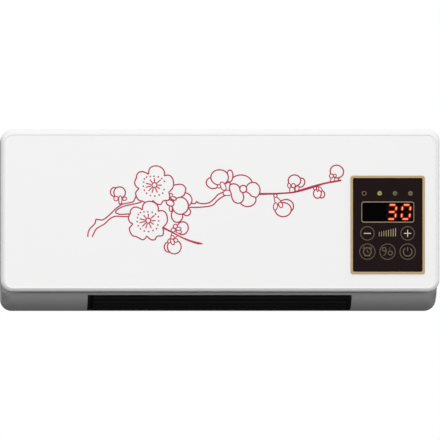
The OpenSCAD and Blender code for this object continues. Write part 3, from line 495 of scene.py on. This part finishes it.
# Line work that is printed: runs of points with a width, in x and z millimetres.
# What is drawn first hides what is drawn later, as in a pen drawing.
class Sketch:
    def __init__(self):
        self.runs, self.veils = [], []

    def line(self, points, width, closed=False, veil=False):
        points = [Vector(point) for point in points]
        path = points + points[:1] if closed else points
        run = []
        for i, point in enumerate(path):
            shown = not any(insideLoop(point, hidden) for hidden in self.veils)
            if shown:
                run.append((point, width[i % len(width)] if isinstance(width, list) else width))
            if (not shown or i == len(path) - 1) and len(run) > 1:
                whole = closed and len(run) == len(path)
                self.runs.append((run[:-1] if whole else run, whole))
            if not shown:
                run = []
        if veil:
            self.veils.append(points)

    def oval(self, middle, halfWide, halfTall, turn, width, veil=False):
        steps = max(ovalSteps["least"], int(ovalSteps["perMm"] * (halfWide + halfTall)))
        self.line(arc(middle, halfWide, halfTall, 0, 360, steps, turn)[:-1], width, True, veil)

    def dot(self, middle, radius):
        self.oval(middle, radius * dotShape["ring"], radius * dotShape["ring"], 0, radius * dotShape["pen"])


def insideLoop(point, loop):
    inside = False
    for a, b in zip(loop, loop[1:] + loop[:1]):
        crossed = (a[1] > point[1]) != (b[1] > point[1])
        if crossed and point[0] < (b[0] - a[0]) * (point[1] - a[1]) / (b[1] - a[1]) + a[0]:
            inside = not inside
    return inside


def arc(middle, halfWide, halfTall, start, end, steps, turn=0):
    points, lean = [], math.radians(turn)
    for i in range(steps + 1):
        angle = math.radians(start + (end - start) * i / steps)
        x, z = halfWide * math.cos(angle), halfTall * math.sin(angle)
        points.append((middle[0] + x * math.cos(lean) - z * math.sin(lean),
                       middle[1] + x * math.sin(lean) + z * math.cos(lean)))
    return points


# A smooth run through a few points
def smoothRun(points, steps=6):
    path = [Vector(point) for point in points]
    path = [2 * path[0] - path[1]] + path + [2 * path[-1] - path[-2]]
    run = []
    for a, b, c, d in zip(path, path[1:], path[2:], path[3:]):
        for i in range(steps):
            t = i / steps
            square, cube = 2 * a - 5 * b + 4 * c - d, 3 * b - a - 3 * c + d
            run.append(0.5 * ((2 * b) + (c - a) * t + square * t * t + cube * t ** 3))
    return run + [path[-2]]


# Raised ink: runs differ a little in height, so that faces don't share a plane where lines cross
ink = dict(height=0.05, stagger=0.004, levels=12)


# Turns the runs of a sketch into thin raised ink on a plane that faces -Y
def inkPiece(name, sketch, level, finish, height=ink["height"]):
    bm = bmesh.new()
    for index, (run, whole) in enumerate(sketch.runs):
        rows = []
        top = height + ink["stagger"] * (index % ink["levels"])
        for i, (point, wide) in enumerate(run):
            before = run[i - 1][0] if i or whole else point
            after = run[(i + 1) % len(run)][0] if i < len(run) - 1 or whole else point
            ahead = (after - before).normalized()
            side = Vector((-ahead.y, ahead.x)) * wide / 2
            corners = ((point + side, 0), (point + side, top), (point - side, top), (point - side, 0))
            rows.append([bm.verts.new((at.x * mm, (level - rise) * mm, at.y * mm)) for at, rise in corners])
        for a, b in list(zip(rows, rows[1:])) + ([(rows[-1], rows[0])] if whole else []):
            for k in range(len(a) - 1):
                bm.faces.new((a[k], a[k + 1], b[k + 1], b[k]))
        if not whole:
            bm.faces.new(rows[0])
            bm.faces.new(rows[-1][::-1])
    makePiece(name, bm, finish)


# Print: one colour, worn a little
inkShine = 0.1
inkWear = dict(branch=dict(wear=(160, 3), darkest=0.85, lightest=1.15, smoothest=0.3, roughest=0.45),
               gilt=dict(wear=(240, 4), darkest=0.8, lightest=1.15, smoothest=0.35, roughest=0.5))


def printInk(name, colour, kind):
    look, given = Finish(name, specularIorLevel=inkShine), inkWear[kind]
    wear = look.noise(*given["wear"])
    dark, light = tinted(colour, given["darkest"]), tinted(colour, given["lightest"])
    return look.set(baseColor=look.blend(wear, dark, light),
                    roughness=look.span(wear, given["smoothest"], given["roughest"]))


# Blossom branch: a common ornament in thin lines. Places are x and z in millimetres, widths too
branch = dict(pen=1.35, thin=1.1, thinUpTo=3.2, stamenLine=1.2, inkRed=(0.47, 0.032, 0.085))
# Petals of an open blossom, round its middle
petals = [
    [(-6.2, 11.2), (-5.6, 15.6), (-3.4, 18.7), (0.9, 20.1), (5.6, 19.1), (9.0, 16.5), (10.5, 13.1),
     (10.3, 9.6)],
    [(10.3, 9.6), (12.9, 10.4), (16.3, 9.8), (18.9, 6.6), (19.9, 1.9), (19.6, -1.1), (18.1, -4.1),
     (14.8, -7.4)],
    [(14.8, -7.4), (15.7, -10.1), (15.5, -14.2), (13.8, -15.7), (9.9, -16.0), (8.2, -17.5), (6.9, -19.6),
     (4.7, -20.0), (2.1, -19.2), (-1.7, -15.9)],
    [(-1.7, -15.9), (-3.4, -18.7), (-6.0, -19.8), (-9.0, -18.3), (-12.5, -16.6), (-15.9, -15.7),
     (-18.1, -13.2), (-19.3, -10.1), (-19.3, -7.4), (-16.0, -3.4)],
    [(-16.0, -3.4), (-18.9, -1.5), (-20.5, 1.9), (-19.9, 5.3), (-18.7, 7.5), (-18.5, 10.1), (-16.3, 13.1),
     (-12.9, 14.1), (-9.5, 13.2), (-6.2, 11.2)]]
# Stamens and dots are angle and reach. The nearer blossom has one dot more
blossoms = dict(at=((-74.9, -62.7), (-68.5, -25.9)), ring=2.6, stamenGap=0.9, petalSteps=4,
                dot=0.9, dotCounts=(17, 16),
                stamens=((90, 7.2), (41, 8.5), (0, 7.6), (-34, 6.8), (-69, 8.2), (-108, 8.2), (-136, 8.7),
                         (-166, 9.3), (168, 9.0), (130, 7.6)),
                dots=((93, 9.2), (65, 9.5), (42, 10.2), (21, 11.1), (-24, 10.9), (-44, 11.9), (-64, 11.3),
                      (-88, 11.3), (-111, 11.5), (-134, 11.7), (-153, 11.7), (-175, 11.5), (164, 11.6),
                      (148, 12.2), (134, 11.7), (116, 10.1), (-1, 10.8)))
# An oval is x, z, half width, half height and turn. A list is an outline of its own. Nearer ones come first
buds = dict(
    left=[(-103.9, -41.2, 1.7, 4.4, 0), (-99.4, -40.0, 2.2, 1.7, 10), (-108.4, -39.8, 2.2, 2.4, 0),
          (-104.6, -33.6, 6.0, 5.9, 0), (-110.1, -33.0, 4.0, 4.7, 0)],
    cluster=[(-52.3, -44.3, 4.3, 3.0, -25), (-51.5, -36.3, 1.7, 2.0, 0), (-49.0, -39.4, 3.4, 1.7, -22),
             (-51.6, -50.1, 1.6, 3.2, 0), (-41.6, -47.3, 8.3, 8.8, 0),
             [(-50.5, -26.3), (-45.8, -25.4), (-41.8, -24.9), (-38.5, -26.0), (-36.3, -28.7),
              (-36.2, -31.5), (-37.0, -34.2), (-38.8, -37.0), (-46.1, -40.2), (-49.5, -39.3),
              (-51.6, -36.6), (-54.5, -34.5), (-55.0, -29.0)],
             (-37.0, -40.9, 7.6, 7.0, -30), (-35.1, -53.5, 4.1, 4.0, 0), (-45.0, -57.2, 5.9, 7.3, 0)],
    hanging=[(-46.8, -68.5, 2.1, 2.1, 0), (-49.0, -72.4, 2.4, 2.0, 30), (-43.5, -71.1, 2.7, 1.7, 0),
             (-43.2, -74.2, 2.9, 1.6, -10), (-39.4, -70.5, 5.9, 6.7, -12)],
    lowest=[(-49.8, -80.1, 1.9, 1.9, 0), (-49.8, -84.5, 1.8, 3.4, 22), (-53.1, -83.7, 1.5, 2.4, -25),
            (-46.3, -83.1, 2.1, 1.9, -35), (-47.9, -89.9, 7.1, 7.2, 0), (-53.4, -90.1, 4.9, 5.3, 0)],
    middle=[(2.7, -27.0, 2.6, 4.7, 25), (-1.6, -27.1, 1.9, 1.8, 0), (-0.9, -17.8, 9.1, 7.9, 0),
            (-8.0, -23.7, 6.8, 5.7, -15), (9.6, -16.4, 3.3, 6.2, -3)],
    half=[(23.6, -29.8, 3.6, 3.7, 0),
          [(9.3, -27.4), (10.7, -25.1), (14.5, -24.5), (18.4, -26.3), (20.5, -29.9), (22.8, -34.0),
           (24.1, -38.2), (22.7, -42.7), (18.2, -44.6), (13.8, -42.7), (11.7, -38.2), (10.9, -34.0),
           (9.6, -30.9)],
          [(24.7, -32.6), (27.9, -33.2), (30.6, -35.3), (32.5, -37.4), (35.6, -38.2), (36.8, -40.7),
           (35.8, -44.2), (32.7, -47.0), (28.4, -48.1), (24.2, -47.3), (20.6, -43.9), (21.6, -37.1)],
          (33.5, -31.3, 7.5, 8.4, -5), (21.7, -25.3, 11.8, 10.0, -8)],
    underTwig=[(57.0, -36.9, 1.8, 1.8, 0), (57.0, -47.9, 2.1, 3.9, -8), (62.4, -46.3, 2.0, 3.0, 25),
               (65.0, -51.2, 8.4, 7.3, 0), (68.0, -47.7, 7.8, 7.0, 0)],
    overTwig=[(75.6, -26.3, 2.0, 2.2, 0), (71.3, -26.4, 1.6, 2.6, 15), (79.5, -29.4, 2.0, 2.8, -22),
              (76.8, -21.0, 6.5, 5.8, 0), (83.5, -23.2, 3.8, 4.8, -20)],
    small=[(98.1, -28.8, 1.5, 2.0, 0), (100.8, -29.7, 1.1, 2.7, 0), (103.4, -29.9, 1.6, 2.6, 38),
           (100.6, -34.6, 4.1, 4.8, 0), (104.7, -35.4, 3.5, 3.8, 0)],
    tip=[(115.1, -16.3, 2.1, 2.1, 0), (118.7, -16.0, 1.5, 1.6, 0), (120.8, -11.7, 7.0, 6.5, -25)])
stalks = [
    [(-105.4, -44.4), (-104.4, -46.0)], [(-102.3, -44.4), (-102.3, -45.2)],
    [(71.5, -28.3), (74.2, -27.9), (76.8, -28.2)],
    [(4.7, -24.6), (8.7, -23.1), (14.4, -23.6), (19.2, -26.1)], [(2.9, -32.8), (3.4, -36.1), (10.3, -36.6)],
    [(2.9, -32.8), (5.8, -31.1), (9.5, -31.3)], [(55.5, -39.0), (56.8, -44.4)],
    [(58.9, -38.4), (62.6, -42.2)],
    [(71.9, -28.8), (71.7, -32.6)], [(76.4, -29.0), (77.3, -32.5)], [(115.0, -18.0), (113.7, -22.0)],
    [(118.7, -17.8), (117.9, -21.7)], [(124.1, -17.4), (121.4, -21.2)], [(-50.5, -75.4), (-51.3, -78.6)],
    [(-43.7, -77.6), (-47.0, -80.3)], [(97.2, -27.6), (96.8, -30.9)]]
limbs = [
    [(-137.6, -79.7), (-137.2, -75.5), (-135.4, -71.1), (-131.6, -67.3), (-129.7, -64.3), (-129.3, -61.2)],
    [(-129.3, -61.2), (-126.0, -61.7), (-122.2, -61.9), (-118.3, -59.5), (-114.0, -55.7), (-108.8, -50.5),
     (-103.7, -46.7), (-101.1, -45.4), (-95.9, -44.4), (-90.8, -43.2), (-89.1, -40.6), (-87.5, -37.0)],
    [(-133.0, -79.7), (-131.2, -75.5), (-128.6, -71.1), (-124.4, -68.5), (-120.0, -65.9), (-115.7, -61.7),
     (-111.4, -58.9), (-108.0, -58.1), (-101.1, -58.5), (-94.6, -58.5)],
    [(-81.7, -43.2), (-85.7, -44.5), (-92.5, -46.0), (-99.4, -47.5), (-104.6, -49.7), (-108.0, -52.3),
     (-109.0, -54.5)],
    [(-109.0, -54.5), (-104.6, -56.1), (-99.4, -56.0), (-93.6, -55.6)],
    [(-30.2, -44.9), (-26.3, -44.9), (-24.7, -42.5)],
    [(-24.7, -42.5), (-22.9, -44.3), (-18.6, -45.1), (-14.3, -44.7), (-10.5, -43.4), (-6.1, -39.5),
     (-2.5, -35.7), (2.9, -33.0)],
    [(-33.2, -48.9), (-25.5, -48.9), (-16.8, -48.4), (-10.5, -47.4), (-6.5, -45.4), (-4.1, -42.6),
     (0.4, -39.0), (4.9, -36.5)]]
# A twig is one swelling stroke: its points, then its widths at the same points
twigs = [
    ([(-59.9, -69.9), (-49.5, -75.0), (-42.7, -78.8), (-34.1, -82.7), (-27.2, -85.0), (-22.6, -86.2),
      (-18.4, -86.6)],
     (2.2, 1.6, 1.5, 1.8, 2.2, 2.4, 0.9)),
    ([(40.6, -35.0), (55.9, -34.7), (67.9, -34.0), (75.8, -33.2), (85.7, -30.6), (95.6, -27.6),
      (107.6, -24.1), (117.5, -22.2), (125.5, -20.8)],
     (2.4, 1.9, 1.7, 1.9, 2.6, 2.7, 1.9, 2.0, 1.8))]


def drawBlossom(sketch, at, dotCount):
    middle, ring = Vector(at), blossoms["ring"]

    def ray(angle, reach):
        turned = math.radians(angle)
        return middle + Vector((math.cos(turned), math.sin(turned))) * reach

    sketch.oval(middle, ring, ring, 0, branch["pen"])
    for angle, reach in blossoms["stamens"]:
        sketch.line([ray(angle, ring + blossoms["stamenGap"]), ray(angle, reach)], branch["stamenLine"])
    for angle, reach in blossoms["dots"][:dotCount]:
        sketch.dot(ray(angle, reach), blossoms["dot"])
    outline = []
    for petal in petals:
        outline += smoothRun([middle + Vector(point) for point in petal], blossoms["petalSteps"])[:-1]
    sketch.line(outline, branch["pen"], closed=True, veil=True)


def drawBuds(sketch):
    for shape in [shape for bud in buds.values() for shape in bud]:
        if isinstance(shape, list):
            sketch.line(smoothRun(shape + shape[:1])[:-1], branch["pen"], closed=True, veil=True)
        else:
            x, z, wide, tall, turn = shape
            pen = branch["pen"] if wide > branch["thinUpTo"] else branch["thin"]
            sketch.oval((x, z), wide, tall, turn, pen, veil=True)


def drawBranch():
    sketch = Sketch()
    for at, dotCount in zip(blossoms["at"], blossoms["dotCounts"]):
        drawBlossom(sketch, at, dotCount)
    drawBuds(sketch)
    for runs, pen in ((stalks, branch["thin"]), (limbs, branch["pen"])):
        for points in runs:
            sketch.line(smoothRun(points), pen)
    sketch.veils.clear()
    for points, widths in twigs:
        sketch.line(smoothRun(points), [place.x for place in smoothRun([(width, 0) for width in widths])])
    return sketch


ornamentInk = printInk("ornamentInk", branch["inkRed"], "branch")
inkPiece("blossom_branch", drawBranch(), faceLevel, ornamentInk)
print("ornament printed")

# Control panel print: bright and dim gilt marks on the glossy face, placed from the middle of the bezel
panel = dict(bright=(0.85, 0.70, 0.48), middling=(0.50, 0.39, 0.22), dim=(0.115, 0.090, 0.062), markLift=1.3,
             frameLine=(0.29, 0.245, 0.165), inkHeight=0.04, nudge=(-0.2, 0.0), column=20.9, rowUpper=-8.8,
             rowLower=-27.8, keySmall=7.0, keyBig=8.0, ringLine=0.85, signArm=3.7, signGap=0.4, signPen=0.8,
             bars=8, barStart=-8.6, barPitch=2.42, barFoot=-11.9, barTall=4.6, barGrowth=3.9, barPen=0.45,
             barPenGrowth=0.04, lamps=(-24.3, -8.2, 7.7, 23.8), lampRow=32.7)
panelMid = middleOf("control_bezel") + Vector(panel["nudge"])
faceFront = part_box("control_face")[0].y / mm
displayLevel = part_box("display_module")[0].y / mm


def onPanel(points):
    return [panelMid + Vector(point) for point in points]


# Minus on the left key, plus on the right one
def drawSigns():
    sketch, up, column = Sketch(), panel["rowUpper"], panel["column"]
    arm, gap, pen = panel["signArm"], panel["signGap"], panel["signPen"]
    for x in (-column, column):
        sketch.line(onPanel([(x - arm, up), (x + arm, up)]), pen)
    for z in (up - arm, up + gap):
        sketch.line(onPanel([(column, z), (column, z + arm - gap)]), pen)
    return sketch


def drawBars():
    sketch, foot = Sketch(), panel["barFoot"]
    for i in range(panel["bars"]):
        x = panel["barStart"] + panel["barPitch"] * i
        top = foot + panel["barTall"] + panel["barGrowth"] * i / (panel["bars"] - 1)
        sketch.line(onPanel([(x, foot), (x, top)]), panel["barPen"] + panel["barPenGrowth"] * i)
    return sketch


def drawRings():
    sketch, column = Sketch(), panel["column"]
    keys = [(x, panel["rowUpper"], panel["keySmall"]) for x in (-column, column)]
    keys += [(x, panel["rowLower"], panel["keyBig"]) for x in (-column, 0, column)]
    for x, z, radius in keys:
        sketch.oval(*onPanel([(x, z)]), radius, radius, 0, panel["ringLine"])
    return sketch


# Marks on the lower keys, round the middle of the key in the left (-1), middle or right column:
# a clock with two bells on a foot, a curl of air parted from a ring of warmth, and a power mark
marks = (
    dict(key=-1, pen=0.95, ring=(0, 0, 4.1)),
    dict(key=-1, pen=0.8, run=[(0, 2.0), (0, -0.3), (1.6, -0.9)]),
    dict(key=-1, pen=0.7, run=arc((-3.0, 3.5), 1.5, 1.5, 60, 210, 8)),
    dict(key=-1, pen=0.7, run=arc((3.0, 3.5), 1.5, 1.5, -30, 120, 8)),
    dict(key=-1, pen=0.8, run=[(-3.2, -4.3), (3.2, -4.3)]),
    dict(key=0, pen=0.9, ring=(-3.5, 2.5, 1.9)),
    dict(key=0, pen=0.85, run=smoothRun([(-1.6, 2.4), (-1.5, 0.2), (-2.3, -2.4), (-4.3, -4.2)])),
    dict(key=0, pen=0.8, ring=(3.0, -1.4, 2.1)),
    dict(key=0, pen=0.35, run=[(1.2, 0.9), (2.8, 4.7)]),
    dict(key=1, pen=1.0, run=arc((0, -0.1), 4.5, 4.5, 127, 413, 30)),
    dict(key=1, pen=1.0, run=[(0, 0.6), (0, 4.8)]))


def drawMarks():
    sketch = Sketch()
    for mark in marks:
        heart = panelMid + Vector((panel["column"] * mark["key"], panel["rowLower"]))
        if "ring" in mark:
            x, z, radius = mark["ring"]
            sketch.oval(heart + Vector((x, z)), radius, radius, 0, mark["pen"])
        else:
            sketch.line([heart + Vector(point) for point in mark["run"]], mark["pen"])
    return sketch


# Frame of the display's window: its line is thick above and below and thin at the sides
window = dict(middle=(0.27, 13.3), wide=54.05, tall=20.9, corner=2.1, steps=6, thick=0.98, thin=0.7,
              inkHeight=0.34)


def drawWindow():
    sketch, steps = Sketch(), window["steps"]
    angles = [math.radians(90 * (corner + i / steps)) for corner in range(4) for i in range(steps + 1)]
    pens = [window["thin"] + (window["thick"] - window["thin"]) * abs(math.sin(angle)) for angle in angles]
    loop = roundLoop(window["middle"], window["wide"], window["tall"], window["corner"], steps)
    sketch.line(onPanel(loop), pens, closed=True)
    return sketch


for name, sketch, level, inkName, colour, height in (
        ("key_signs", drawSigns(), faceFront, "brightInk", panel["bright"], panel["inkHeight"]),
        ("level_bars", drawBars(), faceFront, "barInk", panel["middling"], panel["inkHeight"]),
        ("key_rings", drawRings(), faceFront, "ringInk", panel["dim"], panel["inkHeight"]),
        ("key_marks", drawMarks(), faceFront, "markInk", tinted(panel["dim"], panel["markLift"]),
         panel["inkHeight"]),
        ("window_frame", drawWindow(), displayLevel, "frameInk", panel["frameLine"], window["inkHeight"])):
    inkPiece(name, sketch, level, printInk(inkName, colour, "gilt"), height)

# Seven-segment digits: each lit bar is bright along its middle and red at its rim. Tones are shares of the
# colour stops, at the rim, round the core and along the ridge
digits = dict(width=8.3, height=14.6, stroke=3.65, core=1.8, point=0.8, gapUpright=0.7, gapLevel=0.15,
              coreInset=0.9, ridgeInset=1.5, raised=0.18, slant=0.09, columns=(4.5, 19.2), row=13.4,
              show=("abcdg", "abcdef"), tones=(0.0, 0.75, 1.0), grain=(1400, 2), grainWidth=0.08,
              lit=((0.0, (0.08, 0.0, 0.0)), (0.4, (0.55, 0.006, 0.001)), (0.75, (1.0, 0.22, 0.07)),
                   (1.0, (1.0, 0.85, 0.45))),
              unlit=((0.0, (0.001, 0.0008, 0.0008)), (1.0, (0.005, 0.0015, 0.0015))),
              behindLit=(0.01, 0.001, 0.001))


def segmentFinish(name, stops, strength):
    look = Finish(name, roughness=0.4, specularIorLevel=0.02, emissionStrength=strength)
    tone = look.node("ShaderNodeVertexColor", {"layer_name": "core"}, out="Color")
    share = look.node("ShaderNodeSeparateColor", {}, [tone], out=0)
    shade = look.ramp(share + look.swing(digits["grain"], digits["grainWidth"]), *stops)
    if strength:
        return look.set(baseColor=digits["behindLit"], emissionColor=shade)
    return look.set(baseColor=shade)


def buildDigits(name, chosen, finish):
    bm = bmesh.new()
    core = bm.loops.layers.color.new("core")
    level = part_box("digit_segments")[1].y
    wide, tall = digits["width"], digits["height"]
    bars = {"a": (0, tall / 2, 0), "g": (0, 0, 0), "d": (0, -tall / 2, 0), "b": (wide / 2, tall / 4, 1),
            "c": (wide / 2, -tall / 4, 1), "e": (-wide / 2, -tall / 4, 1), "f": (-wide / 2, tall / 4, 1)}

    def hexagon(half, thick):
        cut = half - thick * digits["point"]
        return [(-half, 0), (-cut, thick), (cut, thick), (half, 0), (cut, -thick), (-cut, -thick)]

    for across, lit in zip(digits["columns"], digits["show"]):
        for key, (x, z, upright) in bars.items():
            if (key in lit) != chosen:
                continue
            half = tall / 4 - digits["gapUpright"] if upright else wide / 2 - digits["gapLevel"]
            end = half - digits["ridgeInset"]
            outline = hexagon(half, digits["stroke"] / 2)
            outline += hexagon(half - digits["coreInset"], digits["core"] / 2)
            top = []
            for along, aside in outline + [(-end, 0), (end, 0)]:
                px, pz = (aside + x, along + z) if upright else (along + x, aside + z)
                place = panelMid + Vector((across + px + digits["slant"] * pz, digits["row"] + pz))
                top.append(bm.verts.new((place.x * mm, level - digits["raised"] * mm, place.y * mm)))
            rim, inner, (left, right) = top[:6], top[6:12], top[12:]
            foot = [bm.verts.new((v.co.x, level, v.co.z)) for v in rim]
            faces = [bm.faces.new((rim[i - 1], rim[i], inner[i], inner[i - 1])) for i in range(6)]
            faces += [bm.faces.new(corners) for corners in (
                (inner[0], inner[1], left), (inner[1], inner[2], right, left), (inner[2], inner[3], right),
                (inner[3], inner[4], right), (inner[4], inner[5], left, right), (inner[5], inner[0], left))]
            faces += [bm.faces.new((rim[i - 1], rim[i], foot[i], foot[i - 1])) for i in range(6)]
            for loop in [loop for face in faces for loop in face.loops]:
                tone = digits["tones"][2 if loop.vert in (left, right) else 1 if loop.vert in inner else 0]
                loop[core] = (tone, tone, tone, 1)
    makePiece(name, bm, finish, stands=["digit_segments"])


buildDigits("digits_lit", True, segmentFinish("digitsLit", digits["lit"], 1.0))
buildDigits("digits_dark", False, segmentFinish("digitsDark", digits["unlit"], 0.0))

# Four indicator lenses, each a low dome on a skirt. An edge is where one colour goes over into the next
lenses = dict(radius=2.75, dome=0.14, skirt=0.8, steps=20, rings=5, heartEdge=(-0.3, 0.4),
              rimEdge=(2.1, 2.55), rim=(0.006, 0.005, 0.003), grain=(700, 2), grainWidth=0.9, smoothAngle=40)
# Each lens: its name, its heart's radius and colour, the colour round the heart, and its glow
lensLooks = (
    ("lamp_off", 1.8, (0.001, 0.001, 0.001), (0.28, 0.235, 0.13), 0.0),
    ("lamp_lit", 0.6, (0.13, 0.13, 0.025), (0.27, 0.265, 0.075), 0.25),
    ("lamp_dim_a", 0.7, (0.06, 0.055, 0.02), (0.145, 0.135, 0.055), 0.0),
    ("lamp_dim_b", 0.9, (0.08, 0.07, 0.035), (0.18, 0.155, 0.085), 0.0))


def lensFinish(name, middle, heartRadius, heart, around, glow):
    look = Finish(name, roughness=0.3, specularIorLevel=0.04, emissionStrength=glow)
    reach = look.node("ShaderNodeVectorMath", {"operation": "DISTANCE"}, [look.place(), middle], out="Value")
    reach = reach + look.swing(lenses["grain"], lenses["grainWidth"] * mm)
    inner = look.span(reach, 0, 1, *[(heartRadius + edge) * mm for edge in lenses["heartEdge"]])
    outer = look.span(reach, 0, 1, *[edge * mm for edge in lenses["rimEdge"]])
    colour = look.blend(outer, look.blend(inner, heart, around), lenses["rim"])
    return look.set(baseColor=colour, emissionColor=colour)


def buildLens(x, name, heartRadius, heart, around, glow):
    bm, dome = bmesh.new(), lenses["dome"] * mm
    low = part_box("indicator_lamps")[0]
    middle = panelMid + Vector((x, panel["lampRow"]))
    rings = [[bm.verts.new((middle.x * mm, low.y - dome, middle.y * mm))]]
    for k in range(1, lenses["rings"] + 2):
        share = min(1.0, k / lenses["rings"])
        radius = lenses["radius"] * share
        level = low.y - dome * math.sqrt(1 - share ** 2)
        if k > lenses["rings"]:
            level += lenses["skirt"] * mm
        rings.append([bm.verts.new((px * mm, level, pz * mm))
                      for px, pz in arc(middle, radius, radius, 0, 360, lenses["steps"])[:-1]])
    for i in range(lenses["steps"]):
        bm.faces.new((rings[0][0], rings[1][i], rings[1][i - 1]))
        for a, b in zip(rings[1:], rings[2:]):
            bm.faces.new((a[i - 1], a[i], b[i], b[i - 1]))
    place = (middle.x * mm, low.y, middle.y * mm)
    finish = lensFinish(name + "Finish", place, heartRadius, heart, around, glow)
    makePiece(name, bm, finish, stands=["indicator_lamps"], smoothAngle=lenses["smoothAngle"])


for x, look in zip(panel["lamps"], lensLooks):
    buildLens(x, *look)
print("panel dressed")

# Studio: pale floor well below the heater, a wide soft light in front, a weaker one on the right.
# Only the camera and mirrors see the floor and the world at full brightness
studio = dict(floor=(0.96, 0.96, 0.955), floorDrop=1.05, floorRadius=12, floorSides=64, bounce=0.21,
              sky=((0.0, 0.04), (0.5, 0.26), (1.0, 1.0)), lightAim=(0, -0.06, -0.06),
              lights=(("keyLight", (-0.3, -3.55, 0.75), 2.8, 73), ("rightLight", (3.4, -0.6, 0.3), 1.6, 15)))


def buildFloor():
    bm, sides, radius = bmesh.new(), studio["floorSides"], studio["floorRadius"]
    level = cadBox[0][2] - studio["floorDrop"]
    turns = [2 * math.pi * i / sides for i in range(sides)]
    bm.faces.new([bm.verts.new((radius * math.cos(turn), radius * math.sin(turn), level)) for turn in turns])
    mesh = bpy.data.meshes.new("floor")
    bm.to_mesh(mesh)
    bm.free()
    floor = bpy.data.objects.new("floor", mesh)
    bpy.context.scene.collection.objects.link(floor)
    paint = Finish("floorPaint", roughness=0.8, specularIorLevel=0.2)
    seen = paint.seenBy("Is Camera Ray", "Is Glossy Ray")
    paint.set(baseColor=paint.blend(seen, tinted(studio["floor"], studio["bounce"]), studio["floor"]),
              alpha=1 - paint.node("ShaderNodeNewGeometry", out="Backfacing"))
    mesh.materials.append(paint.material)


def buildWorld():
    world = bpy.data.worlds.new("studioWorld")
    bpy.context.scene.world = world
    world.use_nodes = True
    sky = Nodes(world.node_tree, "BACKGROUND")
    aim = sky.node("ShaderNodeTexCoord", out="Generated")
    height = sky.node("ShaderNodeSeparateXYZ", {}, [aim], out="Z") * 0.5 + 0.5
    light = sky.ramp(height, *[(place, (value,) * 3) for place, value in studio["sky"]])
    seen = sky.seenBy("Is Camera Ray", "Is Glossy Ray", "Is Transmission Ray")
    sky.set(color=sky.blend(seen, light, (1, 1, 1)), strength=1.0)


# Links a lamp or camera at a place, turned towards an aim
def placed(name, data, place, aim):
    holder = bpy.data.objects.new(name, data)
    holder.location = place
    holder.rotation_mode = "QUATERNION"
    holder.rotation_quaternion = (Vector(aim) - Vector(place)).to_track_quat("-Z", "Y")
    bpy.context.scene.collection.objects.link(holder)
    return holder


def buildLights():
    for name, place, size, power in studio["lights"]:
        lamp = bpy.data.lights.new(name, "AREA")
        lamp.shape, lamp.size, lamp.energy = "DISK", size, power
        placed(name, lamp, place, studio["lightAim"])


# Camera: a long lens, a little to the left of straight on
view = dict(distance=12.0, azimuth=-1.65, elevation=-0.6, spread=0.4584, sensor=36, nearest=0.1, farthest=100,
            aim=(0.00114, -0.0575, -0.0614))


def buildCamera():
    data = bpy.data.cameras.new("camera")
    data.sensor_width = view["sensor"]
    data.lens = view["sensor"] * view["distance"] / view["spread"]
    data.clip_start, data.clip_end = view["nearest"], view["farthest"]
    turned, raised = math.radians(view["azimuth"]), math.radians(view["elevation"])
    level = math.cos(raised)
    back = Vector((math.sin(turned) * level, -math.cos(turned) * level, math.sin(raised)))
    place = Vector(view["aim"]) + back * view["distance"]
    bpy.context.scene.camera = placed("camera", data, place, view["aim"])


buildFloor()
buildWorld()
buildLights()
buildCamera()
bpy.context.scene.view_settings.view_transform = "Standard"
print("studio ready")
